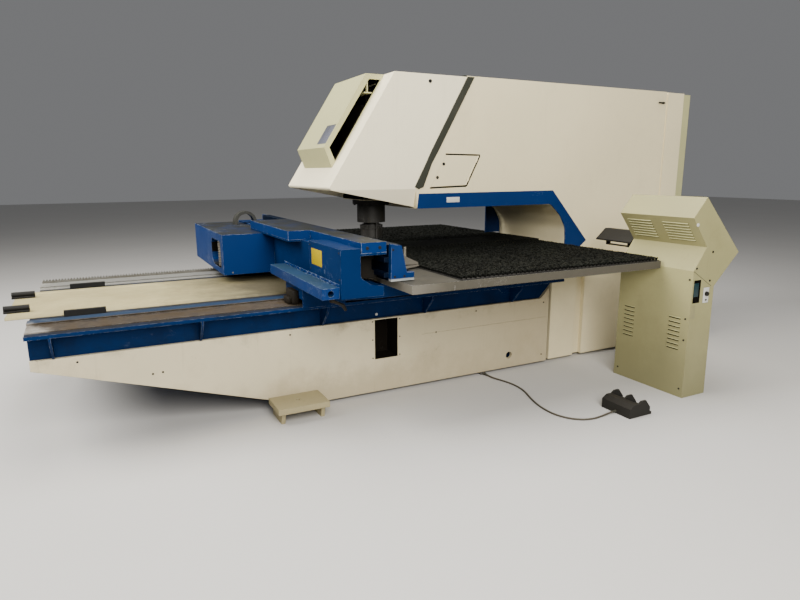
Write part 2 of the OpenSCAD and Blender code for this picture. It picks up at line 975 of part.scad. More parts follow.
// Carriage
module beam_section(front, top) {
    polygon(round_corners([[front, beam_low], [-533, beam_low], [-533, 879], [-606, 891, 30],
        [tunnel_y, 935, 20], [tunnel_y, deck_z - 12], [cover_rear, deck_z - 12],
        [cover_rear, deck_z], [tunnel_y, deck_z], [tunnel_y, top], [front, top]], 4));
}

front_box_x = 813;
front_box_top = 1095;
wide_x0 = -510;
wide_x1 = 490;

module carriage_beam() {
    color(blue) union() {
        across(-carriage_half, carriage_half)
            beam_section(wall_y, deck_z);
        across(front_box_x, carriage_half)
            beam_section(front_box_y, front_box_top);
        box([wide_x0, wide_x1], [wide_y, wall_y], [deck_z - 12, deck_z]);
        box([176, front_box_x], [front_box_y, wall_y], [beam_low, beam_low + 12]);
    }
}

module carriage_cover() {
    color(blue) difference() {
        union() {
            box([wide_x0, wide_x1], [wide_y, cover_rear], [deck_z, deck_z + cover_h]);
            box([wide_x1 - past, carriage_half], [cover_rear - narrow_d, cover_rear],
                [deck_z, deck_z + cover_h]);
        }
        box([wide_x0 + sheet, wide_x1 - sheet], [wide_y + sheet, cover_rear - sheet],
            [deck_z - past, deck_z + cover_h - sheet]);
        box([wide_x1 - 30, carriage_half - sheet],
            [cover_rear - narrow_d + sheet, cover_rear - sheet],
            [deck_z - past, deck_z + cover_h - sheet]);
    }
}

drive_top = deck_z - 12;
// The window in the drive box, as [x, z, corner radius]
window_x1 = drive_x - 75;
window_x0 = window_x1 - 355;
window_z0 = drive_low + 40;
window_z1 = drive_top - 54;
window_depth = 90;
window_pts = [[window_x0, window_z0, 90], [window_x1, window_z0, 20], [window_x1, window_z1, 20],
    [window_x0, window_z1, 40]];

module drive_box() {
    out_x = -carriage_half - 23;
    color(blue) difference() {
        box([out_x, drive_x], [drive_y, wall_y], [drive_low, drive_top]);
        along(drive_y - past, drive_y + window_depth)
            polygon(round_corners(window_pts, 6));
        box([out_x + sheet, drive_x - sheet], [drive_y + sheet, wall_y - 12],
            [drive_low - past, drive_low + 24]);
        box([-saddle_out - past, past - saddle_in], [saddle_y0 - past, wall_y + past],
            [drive_low - past, beam_low]);
    }
}

screw_pitch = 76;
module channel_bar() {
    x0 = 287;
    x1 = carriage_half - 27;
    low = beam_low + 1;
    top = low + bar_h;
    color(blue) difference() {
        union() {
            box([x0, x1], [front_box_y - bar_w, front_box_y], [low, top]);
            box([x0, x1], [front_box_y - 2, front_box_y], [top - 1, top + 18]);
            for (i = [0:floor((x1 - x0 - 60) / screw_pitch)])
                bar_y(front_box_y - 6, front_box_y, x0 + 40 + i * screw_pitch, top + 9, 7);
        }
        bar_x(x1 - 80, x1 + past, front_box_y - bar_w / 2, low + bar_h / 2, 17);
        box([x0 - past, x1 - 140], [front_box_y - bar_w + 6, front_box_y - 12], [low - past, top - 6]);
    }
}

saddle_y0 = -851;
saddle_y1 = -574;
saddle_in = 520;
saddle_out = flange_x + 13;

module saddle() {
    along(saddle_y0, saddle_y1)
        polygon([[saddle_in, beam_low], [saddle_in, way_top + run_gap], [660, way_top + run_gap],
            [690, bed_top + 45], [flange_x + 1, bed_top + 45], [flange_x + 1, bed_top - 4],
            [saddle_out, bed_top - 4], [saddle_out, beam_low]]);
}

module saddles() {
    color(blue) both_sides()
        saddle();
}

module cable_chain() {
    mid_y = -735;
    r_in = 70;
    r_out = 95;
    z0 = drive_top + 18;
    chain_w = 90;
    chain_x = 227 - carriage_half;
    color([0.45, 0.45, 0.42]) across(chain_x, chain_x + chain_w)
        union() {
            intersection() {
                translate([mid_y, z0])
                    difference() {
                        circle(r = r_out);
                        circle(r = r_in);
                    }
                translate([mid_y - r_out, z0])
                    square([2 * r_out, r_out]);
            }
            translate([mid_y - r_out, drive_top])
                square([r_out - r_in, z0 - drive_top + 0.1]);
            translate([mid_y + r_in, deck_z])
                square([r_out - r_in, z0 - deck_z + 0.1]);
        }
}

bar_depth = 26;
bar_z = [925, 1010];
bar_thick = 25;

module guide_blocks() {
    block_w = 140;
    block_out = carriage_half - 207;
    block_x = [-block_out, -block_out * 3 / 8, block_out * 3 / 8, block_out];
    color(steel) difference() {
        for (x = block_x)
            box([x - block_w / 2, x + block_w / 2], [tunnel_y, rail_front - 8],
                [rail_low + 1, deck_z - 18]);
        across(-carriage_half, carriage_half)
            beam_section(wall_y, deck_z);
        for (z = bar_z)
            box([-carriage_half - past, carriage_half + past],
                [rail_front - bar_depth - run_gap, rail_front], [z - run_gap, z + bar_thick + run_gap]);
        box([-carriage_half - past, carriage_half + past], [rail_front - 40, rail_front],
            [bar_z[0] + bar_thick - 1, bar_z[1] + 1]);
    }
}

// Tables
module table_tray(x0, x1, y0, y1) {
    ribs = 4;
    difference() {
        box([x0, x1], [y0, y1], [table_z - edge_h, table_z]);
        for (i = [0:ribs])
            box([x0 + 6, x1 - 6],
                [y0 + 6 + i * (y1 - y0 - 6) / (ribs + 1), y0 + (i + 1) * (y1 - y0 - 6) / (ribs + 1)],
                [table_z - edge_h - past, table_z - 6]);
    }
}

module side_tables() {
    color(steel) union() {
        difference() {
            table_tray(table_in, table_out, table_front, near_rear);
            box([table_out - 2, table_out + past], [-179, -177], [table_z - edge_h - past, table_z + past]);
        }
        mirror([1, 0, 0])
            table_tray(table_in, table_out, table_front, far_rear);
    }
}

module table_arm(x, rear) {
    across(x - 30, x + 30)
        polygon([[wall_y, beam_low - 55], [wall_y, beam_low], [cover_rear - 4, beam_low],
            [table_front - 6, table_z - edge_h], [rear, table_z - edge_h],
            [rear, table_z - edge_h - 36], [0, beam_low - 62], [cover_rear + 16, beam_low - 62]]);
}

table_arm_inset = 104;
table_arm_outset = 420;
table_arm_end = 215;
module table_arms() {
    arm_in = table_in + table_arm_inset;
    arm_out = table_out - table_arm_outset;
    arm_rear = near_rear - table_arm_end;
    color(blue) union() {
        for (x = [-arm_out, -arm_in, arm_in, arm_out])
            table_arm(x, arm_rear);
    }
}

module brush_fields() {
    color(dark) union() {
        brush_rows(table_in + 4, table_out - 8, brush_front, near_rear - 6);
        mirror([1, 0, 0])
            brush_rows(table_in + 4, table_out - 8, brush_front, far_rear - 6);
    }
}

// Transverse rail
module transverse_rail() {
    ledge = rail_rear + ledge_d;
    color(blue) union() {
        across(-carriage_half, carriage_half)
            polygon([[rail_front, rail_low], [ledge, rail_low], [ledge, rail_low + ledge_h],
                [ledge - 12, rail_low + ledge_h], [ledge - 12, rail_low + ledge_h - 14],
                [rail_rear, rail_low + ledge_h - 14], [rail_rear, rail_low + ledge_h],
                [rail_rear - 33, rail_top], [rail_front, rail_top]]);
        for (z = bar_z)
            box([-carriage_half, carriage_half], [rail_front - bar_depth, rail_front],
                [z, z + bar_thick]);
    }
}

module end_plate() {
    polygon([[rail_front, rail_low], [rail_front + 4, rail_top + 7], [rail_rear - 33, rail_top - 4],
        [rail_rear, rail_low + ledge_h], [rail_rear + ledge_d, rail_low + ledge_h],
        [rail_rear + ledge_d, rail_low]]);
}

module rail_end_plates() {
    color(blue) both_sides()
        across(carriage_half, carriage_half + end_t)
            end_plate();
}

// A clamp is drawn from the rail's rear face and the sheet's height, as [y, z]
clamp_tip = brush_front - clamp_reach_gap - rail_rear;
seat_z = rail_low + ledge_h - sheet_z;
jaw_pin = [136, 43];
jaw_pin_r = 9;
cheek_t = 12;
cheek_in = jaw_w / 2 + run_gap;
clamp_places = [clamp_x - 2 * clamp_pitch, clamp_x - clamp_pitch, clamp_x];

module at_clamp(x) {
    translate([x, rail_rear, sheet_z])
        children();
}

module clamp_body() {
    foot_z = rail_low + 1 - sheet_z;
    difference() {
        union() {
            across(-cheek_in - cheek_t, cheek_in + cheek_t)
                polygon([[0, seat_z], [0, 111], [32, 121], [74, 121], [166, 65], [166, 21],
                    [ledge_d, seat_z]]);
            across(-cheek_in - cheek_t, cheek_in + cheek_t)
                polygon([[ledge_d, foot_z], [ledge_d, seat_z], [166, 21], [166, -1],
                    [clamp_tip, -1], [clamp_tip, -6], [164, foot_z]]);
            translate([0, 44, 121])
                cylinder(r = 22, h = 30);
        }
        across(-cheek_in, cheek_in)
            polygon([[52, 4], [52, 95], [74, 122], [clamp_tip + past, 122],
                [clamp_tip + past, -1], [166, -1], [104, 4]]);
        bar_x(-cheek_in - cheek_t - past, cheek_in + cheek_t + past, jaw_pin.x, jaw_pin.y,
            jaw_pin_r + turn_gap);
    }
}

module clamp_bodies() {
    color(steel) for (x = clamp_places)
        at_clamp(x)
            clamp_body();
}

module clamp_jaw() {
    union() {
        across(-jaw_w / 2, jaw_w / 2)
            polygon(round_corners([[59, 21], [59, 75, 8], [74, 87, 8], [114, 71], [164, 65, 14],
                [clamp_tip, 15, 6], [clamp_tip, 1], [176, 6], [164, 15], [104, 15]], 4));
        bar_x(-cheek_in - cheek_t, cheek_in + cheek_t, jaw_pin.x, jaw_pin.y, jaw_pin_r);
        translate([0, 188, 45])
            cylinder(r = 8, h = 68);
    }
}

module clamp_jaw_far() {
    color(steel) at_clamp(clamp_places[0])
        clamp_jaw();
}

module clamp_jaw_middle() {
    color(steel) at_clamp(clamp_places[1])
        clamp_jaw();
}

module clamp_jaw_near() {
    color(steel) at_clamp(clamp_places[2])
        clamp_jaw();
}

// Console
console_pts = [[0, 0], [0, 864], [105, 1013], [-49, 1205], [63, 1333], [432, 964], [212, 749],
    [225, 0]];
console_x1 = console_x + console_w;
function face_point(a, b, s) = a + (b - a) * s;

module console_outline() {
    polygon([for (p = console_pts) [p.x + console_y, p.y]]);
}

module louvre(w) {
    across(0, w)
        polygon([[0, 0], [0, 9], [9, 1.5]]);
}

module console_cabinet() {
    low = console_pts[2];
    high = console_pts[3];
    lean = atan2(high.y - low.y, high.x - low.x);
    color(cream) difference() {
        across(console_x, console_x1)
            console_outline();
        for (x = [console_x + 40, console_x + 330], i = [0:6])
            translate([x, console_y + low.x, low.y])
                rotate([lean, 0, 0])
                    translate([0, 40 + i * 24, -6])
                        cube([200, 9, 16]);
        for (x = [console_x + 60, console_x + 440], i = [0:7])
            translate([x, console_y - past, 320 + i * 30])
                cube([90, 12, 9]);
        box([console_x1 - 14, console_x1 + past], [console_y + 14, console_y + 80], [650, 802]);
        box([console_x1 - 1.5, console_x1 + past], [console_y + 112, console_y + 170], [642, 748]);
        translate([0, console_y, 0])
            translate([0, panel_low.x, panel_low.y])
                rotate([panel_lean, 0, 0])
                    translate([console_x + 40, 30, -20])
                        cube([console_w - 80, panel_len - 60, 20 + panel_depth]);
        on_panel()
            translate([stop_place.x, stop_place.y, -panel_depth - stop_bore])
                cylinder(r = stop_stem_r + run_gap, h = 2 * stop_bore);
    }
}

panel_low = console_pts[5];
panel_high = console_pts[4];
panel_len = norm(panel_high - panel_low);
panel_lean = atan2(panel_high.y - panel_low.y, panel_high.x - panel_low.x);

// A frame on the operator's face, X along the console and Y up the slope
module on_panel() {
    translate([0, console_y + panel_low.x, panel_low.y])
        rotate([panel_lean, 0, 0])
            mirror([0, 0, 1])
                children();
}

panel_depth = 6;
module console_panel() {
    color(dark) on_panel()
        difference() {
            translate([console_x + 40, 30, -panel_depth])
                cube([console_w - 80, panel_len - 60, panel_depth]);
            translate([console_x + 80, 230, -4])
                cube([300, 220, 10]);
            for (x = [0:9], y = [0:2])
                translate([console_x + 90 + x * 36, 60 + y * 40, -2])
                    cube([26, 26, 10]);
            for (p = button_places)
                translate([p.x, p.y, -20])
                    cylinder(r = button_r + run_gap, h = 40);
            translate([stop_place.x, stop_place.y, -20])
                cylinder(r = stop_stem_r + run_gap, h = 40);
        }
}

button_r = 11;
stop_stem_r = 8;
stop_bore = 10;
button_places = [[console_x + 460, 250], [console_x + 510, 250]];
stop_place = [console_x + 485, 380];

module push_button(p) {
    on_panel()
        translate([p.x, p.y, -1])
            cylinder(r = button_r, h = 9);
}

module start_button() {
    color(white) push_button(button_places[0]);
}

module hold_button() {
    color(dark) push_button(button_places[1]);
}

module stop_button() {
    color([0.7, 0.05, 0.05]) on_panel()
        translate([stop_place.x, stop_place.y, -1])
            union() {
                cylinder(r = stop_stem_r, h = 14);
                translate([0, 0, 12])
                    cylinder(r = 20, h = 15);
            }
}

module console_tray() {
    x0 = console_x - 350;
    post_w = 12;
    rail_z = 940;
    rail_y = [131, 169];
    color(dark) translate([0, console_y, 0])
        union() {
            across(x0, console_x - 12)
                polygon([[85, 975], [97, 972], [185, 1048], [215, 1048], [215, 1060], [177, 1060],
                    [85, 984]]);
            box([console_x - 90, console_x], [125, 175], [rail_z, rail_z + 8]);
            for (x = [x0 + 60, console_x - 80])
                box([x, x + post_w], rail_y, [rail_z, 1012]);
            box([x0 + 60, console_x - 60], rail_y, [rail_z, rail_z + 8]);
        }
}

// Foot switch and its cord
cord_z0 = 13;
cord_r = cord_d / 2;
switch_w = 230;
switch_d = 190;

pivot_y = -14;
pivot_z = 55;
pivot_r = 5;
cheek_w = 12;
pedal_w = (switch_w - 3 * cheek_w) / 2 - 2 * run_gap;

module foot_switch() {
    color(dark) translate([pedal_x, pedal_y, 0])
        difference() {
            union() {
                box([-switch_w / 2, switch_w / 2], [-switch_d / 2, switch_d / 2], [0, 18]);
                across(-switch_w / 2, switch_w / 2)
                    polygon([[-20, 15], [-switch_d / 2, 15], [-switch_d / 2, 62], [-60, 84], [-20, 84]]);
                for (x = [-switch_w / 2, -cheek_w / 2, switch_w / 2 - cheek_w])
                    across(x, x + cheek_w)
                        polygon([[80, 15], [-21, 15], [-21, 84], [0, 100], [40, 100], [80, 50]]);
            }
            bar_x(-switch_w / 2 + 4, switch_w / 2 - 4, pivot_y, pivot_z, pivot_r + turn_gap);
        }
}

module foot_pedal(x) {
    color(dark) translate([pedal_x + x, pedal_y, 0])
        union() {
            across(0, pedal_w)
                polygon([[76, 34], [-18, 50], [-18, 60], [76, 44]]);
            bar_x(-5, pedal_w + 5, pivot_y, pivot_z, pivot_r);
        }
}

module pedal_left() {
    foot_pedal(-switch_w / 2 + cheek_w + run_gap);
}

module pedal_right() {
    foot_pedal(cheek_w / 2 + run_gap);
}

cord_points = [[749.5, 575, 13], [790, 576, 12], [840, 584, 9], [900, 604, 7], [960, 622, 6.6],
    [1040, 632, 6.6], [1120, 626, 6.6], [1200, 604, 6.6], [1290, 570, 6.6], [1380, 542, 6.6],
    [1470, 526, 6.6], [1550, 524, 6.6], [1620, 540, 6.6], [1680, 576, 6.6], [1722, 632, 6.6],
    [1738, 700, 6.6], [1734, 760, 7], [1728, 820, 10], [1725, 860, 12.5], [1725, 890, 13]];

function tangent(p, i) = i == 0 ? [1, 0, 0]
    : (i == len(p) - 1 ? [0, 1, 0] : unit(p[i + 1] - p[i - 1]));
function spline(a, b, c, d, t) =
    0.5 * ((2 * b) + (c - a) * t + (2 * a - 5 * b + 4 * c - d) * t * t
        + (3 * b - a - 3 * c + d) * t * t * t);
function smooth_path(p, n) =
    [for (i = [0:len(p) - 2], k = [0:n - 1])
        spline(p[max(i - 1, 0)], p[i], p[i + 1], p[min(i + 2, len(p) - 1)], k / n),
        p[len(p) - 1]];

module tube(path, r, sides) {
    n = len(path);
    points = [for (i = [0:n - 1], k = [0:sides - 1])
        let (t = tangent(path, i), s = unit(cross(t, [0, 0, 1])), u = cross(s, t))
        path[i] + r * (cos(k * 360 / sides) * s + sin(k * 360 / sides) * u)];
    faces = concat(
        [[for (k = [0:sides - 1]) k]],
        [for (i = [0:n - 2], k = [0:sides - 1])
            [i * sides + k, (i + 1) * sides + k, (i + 1) * sides + (k + 1) % sides,
                i * sides + (k + 1) % sides]],
        [[for (k = [sides - 1:-1:0]) (n - 1) * sides + k]]);
    polyhedron(points, faces);
}

module foot_cord() {
    color(dark) tube(smooth_path(cord_points, 3), cord_r, 10);
}

machine_bed();
bed_flange();
base_soles();
side_panels();
foot_brackets();
column_foot();
c_frame();
throat_trims();
head_hood();
hood_seals();
hood_lock();
motor_cover();
index_motor();
side_hatch();
hatch_seal();
hatch_lock_upper();
hatch_lock_lower();
rear_cover();
rear_latch();
rear_duct();
ram_guide();
ram();
tool_holder();
punch();
stripper();
die_base();
die_holder();
die();
centre_table();
guide_ways();
y_rack();
centre_cover();
cam_bars();
end_buffers();
carriage_beam();
carriage_cover();
drive_box();
channel_bar();
saddles();
cable_chain();
guide_blocks();
side_tables();
table_arms();
brush_fields();
transverse_rail();
rail_end_plates();
clamp_bodies();
clamp_jaw_far();
clamp_jaw_middle();
clamp_jaw_near();
console_cabinet();
console_panel();
console_tray();
start_button();
hold_button();
stop_button();
foot_switch();
pedal_left();
pedal_right();
foot_cord();
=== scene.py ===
"""Looks of a C-frame punching machine with a coordinate guide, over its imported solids.

The solids are the fixed frame. This script gives every one of them its finish, and adds the
bristles, the foot switch's cord, bare plates, screws, louvres and keys. All sizes are metres.
"""

import logging
import math
import random
from collections.abc import Iterator
from contextlib import contextmanager
from dataclasses import dataclass
from enum import Enum

import bmesh
import bpy
from bmesh.types import BMesh, BMVert
from bpy.types import Node, NodeSocket
from mathutils import Matrix, Vector


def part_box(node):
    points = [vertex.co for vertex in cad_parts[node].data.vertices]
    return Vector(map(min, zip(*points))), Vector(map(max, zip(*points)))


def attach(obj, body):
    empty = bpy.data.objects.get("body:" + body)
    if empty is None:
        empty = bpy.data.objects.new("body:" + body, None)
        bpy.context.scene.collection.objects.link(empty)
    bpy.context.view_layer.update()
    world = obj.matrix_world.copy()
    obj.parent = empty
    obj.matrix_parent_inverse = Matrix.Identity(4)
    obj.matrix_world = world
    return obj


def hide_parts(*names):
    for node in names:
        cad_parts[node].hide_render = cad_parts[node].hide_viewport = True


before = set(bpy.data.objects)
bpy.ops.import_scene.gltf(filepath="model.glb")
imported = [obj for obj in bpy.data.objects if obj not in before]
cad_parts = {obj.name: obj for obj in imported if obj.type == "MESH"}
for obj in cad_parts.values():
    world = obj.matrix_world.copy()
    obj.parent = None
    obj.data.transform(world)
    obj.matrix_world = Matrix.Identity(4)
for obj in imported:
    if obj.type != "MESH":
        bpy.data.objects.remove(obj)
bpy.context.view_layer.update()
log = logging.getLogger("punching_machine")

Colour = tuple[float, float, float]
Point = tuple[float, float, float]
Span = tuple[float, float]
Value = NodeSocket | float | Colour

BARE_EDGE: Colour = (0.75, 0.74, 0.70)
FINE_SCRATCH: Colour = (0.72, 0.71, 0.68)


def both_sides(span: Span) -> list[Span]:
    """Lay a near side's span along X on both sides, each with its low and its high end."""
    return [span, (-span[1], -span[0])]


class Body(Enum):
    """The moving groups that new pieces ride on."""

    FRAME = "frame"
    CARRIAGE = "carriage"
    RAIL = "cross_rail"
    HATCH = "hatch"


# ---------------------------------------------------------------- node trees
class NodeDesk:
    """Places and joins nodes in one node tree."""

    def __init__(self, tree: bpy.types.NodeTree) -> None:
        """Keep the material's or group's tree."""
        self.tree = tree

    def put(self, kind: str, inputs: dict | None = None, **settings) -> Node:
        """Add a node and fill its sockets.

        Args:
            kind: the node's type name without its ShaderNode prefix.
            inputs: socket name or number to a value or to another node's output.
            settings: attributes of the node.

        Returns:
            The new node.
        """
        node = self.tree.nodes.new("ShaderNode" + kind)
        for name, value in settings.items():
            setattr(node, name, value)
        for name, value in (inputs or {}).items():
            self.feed(node.inputs[name], value)
        return node

    def feed(self, socket: NodeSocket, value: Value) -> None:
        """Join an output to a socket, or store a plain value in it.

        Args:
            socket: the input to fill.
            value: an output socket, a number, a vector or a colour.
        """
        if isinstance(value, NodeSocket):
            self.tree.links.new(value, socket)
        elif socket.type == "RGBA" and len(value) == 3:
            socket.default_value = (*value, 1.0)
        else:
            socket.default_value = value

    def math(self, operation: str, a: Value, b: Value = 0.0, clamp: bool = False) -> NodeSocket:
        """Combine two values or outputs, kept between 0 and 1 if it clamps."""
        node = self.put("Math", {0: a, 1: b}, operation=operation, use_clamp=clamp)
        return node.outputs[0]

    def ramp(self, value: Value, low: float, high: float, out_low: float = 0.0,
             out_high: float = 1.0) -> NodeSocket:
        """Spread the values from low to high smoothly from out_low to out_high."""
        node = self.put("MapRange", {0: value, 1: low, 2: high, 3: out_low, 4: out_high},
                        interpolation_type="SMOOTHSTEP")
        return node.outputs[0]

    def blend(self, share: Value, under: Value, over: Value) -> NodeSocket:
        """Lay one colour over another.

        Args:
            share: how much of the upper colour shows.
            under: lower colour or output.
            over: upper colour or output.

        Returns:
            The mixed colour's output socket.
        """
        node = self.put("Mix", data_type="RGBA")
        self.feed(node.inputs[0], share)
        self.feed(node.inputs[6], under)
        self.feed(node.inputs[7], over)
        return node.outputs[2]

    def noise(self, where: Value, scale: Value, detail: float = 4.0,
              roughness: float = 0.55) -> NodeSocket:
        """Cloudy noise from 0 to 1, with its scale in clouds a metre."""
        node = self.put("TexNoise", {"Vector": where, "Scale": scale, "Detail": detail,
                                     "Roughness": roughness})
        return node.outputs[0]

    def group(self, tree: bpy.types.NodeTree, **inputs: Value) -> Node:
        """Place a shared group and fill its sockets."""
        node = self.put("Group")
        node.node_tree = tree
        for name, value in inputs.items():
            self.feed(node.inputs[name], value)
        return node

    def stretched(self, where: Value, scale: Point) -> NodeSocket:
        """Coordinates scaled by a different amount along each axis."""
        node = self.put("Mapping", {"Vector": where, "Scale": scale})
        return node.outputs[0]


def start_material(name: str) -> tuple[bpy.types.Material, NodeDesk, Node, NodeSocket]:
    """Start a node material.

    Args:
        name: the material's name.

    Returns:
        The material, its desk, its shader and the object coordinates' output.
    """
    material = bpy.data.materials.new(name)
    material.use_nodes = True
    desk = NodeDesk(material.node_tree)
    shader = material.node_tree.nodes["Principled BSDF"]
    return material, desk, shader, desk.put("TexCoord").outputs["Object"]


class Effects:
    """The shader node groups that several finishes share."""

    def __init__(self) -> None:
        """Build each group once."""
        self.soft_edge = self._soft_edge()
        self.grime = self._grime()
        self.runs = self._runs()
        self.scuffs = self._scuffs()
        self.upward = self._upward()
        self.zone = self._zone()

    @staticmethod
    def _new(name: str, inputs: str,
             outputs: str) -> tuple[bpy.types.NodeTree, NodeDesk, dict, dict]:
        """Start a group with named sockets.

        Args:
            name: the group's name.
            inputs: the names of its inputs, numbers but for Vector and Axis.
            outputs: the names of its outputs, numbers but for Normal.

        Returns:
            The group, its desk, its inputs by name and the sockets of its result.
        """
        group = bpy.data.node_groups.new(name, "ShaderNodeTree")
        for side, labels in (("INPUT", inputs), ("OUTPUT", outputs)):
            for label in labels.split():
                kind = "Vector" if label in ("Vector", "Axis", "Normal") else "Float"
                group.interface.new_socket(label, in_out=side, socket_type="NodeSocket" + kind)
        start = group.nodes.new("NodeGroupInput")
        end = group.nodes.new("NodeGroupOutput")
        return (group, NodeDesk(group), {label: start.outputs[label] for label in inputs.split()},
                {label: end.inputs[label] for label in outputs.split()})

    def _soft_edge(self) -> bpy.types.NodeTree:
        """Rounds edges in the shading and marks where paint is rubbed off them."""
        group, desk, given, result = self._new("soft_edge", "Vector Radius Breakup",
                                               "Normal Edge")
        bevel = desk.put("Bevel", {"Radius": given["Radius"]}, samples=4)
        flat = desk.put("NewGeometry")
        dot = desk.put("VectorMath", {0: bevel.outputs[0], 1: flat.outputs["Normal"]},
                       operation="DOT_PRODUCT")
        turn = desk.math("SUBTRACT", 1.0, dot.outputs["Value"])
        patch = desk.noise(given["Vector"], given["Breakup"], 6.0, 0.7)
        worn = desk.math("MULTIPLY", turn, desk.ramp(patch, 0.42, 0.62))
        desk.feed(result["Edge"], desk.ramp(worn, 0.03, 0.16))
        desk.feed(result["Normal"], bevel.outputs[0])
        return group

    def _grime(self) -> bpy.types.NodeTree:
        """Cloudy dirt that grows downwards from one height to another."""
        group, desk, given, result = self._new("grime", "Vector Scale High Low", "Dirt")
        clouds = desk.noise(given["Vector"], given["Scale"], 8.0, 0.65)
        split = desk.put("SeparateXYZ", {0: given["Vector"]})
        fall = desk.put("MapRange", {0: split.outputs["Z"], 1: given["High"], 2: given["Low"]})
        total = desk.math("ADD", desk.math("MULTIPLY", fall.outputs[0], 0.35), clouds)
        desk.feed(result["Dirt"], desk.ramp(total, 0.46, 0.86))
        return group

    def _runs(self) -> bpy.types.NodeTree:
        """Thin streaks that run down a wall."""
        group, desk, given, result = self._new("runs", "Vector Scale", "Streak")
        tall = desk.stretched(given["Vector"], (1.0, 1.0, 0.045))
        lines = desk.noise(tall, given["Scale"], 5.0, 0.7)
        patch = desk.noise(given["Vector"], 1.3, 2.0)
        share = desk.math("MULTIPLY", desk.ramp(lines, 0.56, 0.72),
                          desk.ramp(patch, 0.42, 0.66))
        desk.feed(result["Streak"], share)
        return group

    def _scuffs(self) -> bpy.types.NodeTree:
        """Short fine scratches in patches."""
        group, desk, given, result = self._new("scuffs", "Vector Scale", "Scratch")
        swirl = desk.put("TexNoise", {"Vector": given["Vector"], "Scale": given["Scale"],
                                      "Detail": 3.0, "Distortion": 1.6})
        line = desk.math("ABSOLUTE", desk.math("SUBTRACT", swirl.outputs[0], 0.5))
        thin = desk.ramp(line, 0.006, 0.0)
        patch = desk.noise(given["Vector"], 3.1, 3.0)
        desk.feed(result["Scratch"], desk.math("MULTIPLY", thin, desk.ramp(patch, 0.52, 0.68)))
        return group

    def _upward(self) -> bpy.types.NodeTree:
        """Marks faces that look up, where dust lies and hands rub, and where the side tables' tops
        get painted shade.
        """
        group, desk, given, result = self._new("upward", "Vector", "Top")
        split = desk.put("SeparateXYZ", {0: desk.put("NewGeometry").outputs["Normal"]})
        patch = desk.noise(given["Vector"], 7.0, 6.0)
        share = desk.math("MULTIPLY", desk.ramp(split.outputs["Z"], 0.6, 0.95),
                          desk.ramp(patch, 0.25, 0.6, 0.6, 1.0))
        desk.feed(result["Top"], share)
        return group

    def _zone(self) -> bpy.types.NodeTree:
        """Marks one end of a piece, with a ragged border."""
        group, desk, given, result = self._new("zone", "Vector Axis Start End Ragged", "Mask")
        along = desk.put("VectorMath", {0: given["Vector"], 1: given["Axis"]},
                         operation="DOT_PRODUCT")
        clouds = desk.noise(given["Vector"], 5.0, 7.0, 0.7)
        ragged = desk.math("ADD", along.outputs["Value"],
                           desk.math("MULTIPLY", desk.math("SUBTRACT", clouds, 0.5),
                                     given["Ragged"]))
        mask = desk.put("MapRange", {0: ragged, 1: given["Start"], 2: given["End"]})
        desk.feed(result["Mask"], mask.outputs[0])
        return group


@dataclass(frozen=True)
class Zone:
    """A part of a piece with a look of its own, such as a greasy or a polished end, a painted
    shade or a painted highlight.
    """

    colour: Colour
    axis: Point
    start: float
    end: float
    share: float = 0.8
    ragged: float = 0.7

    def lay(self, desk: NodeDesk, effects: Effects, where: Value,
            colour: Value) -> tuple[NodeSocket, NodeSocket]:
        """Lay the zone over a colour.

        Args:
            desk: the material's desk.
            effects: the shared node groups.
            where: the coordinates' output.
            colour: the colour below.

        Returns:
            The new colour's output and the zone's mask.
        """
        node = desk.group(effects.zone, Vector=where, Axis=self.axis, Start=self.start,
                          End=self.end, Ragged=self.ragged)
        mask = desk.math("MULTIPLY", node.outputs["Mask"], self.share)
        return desk.blend(mask, colour, self.colour), mask


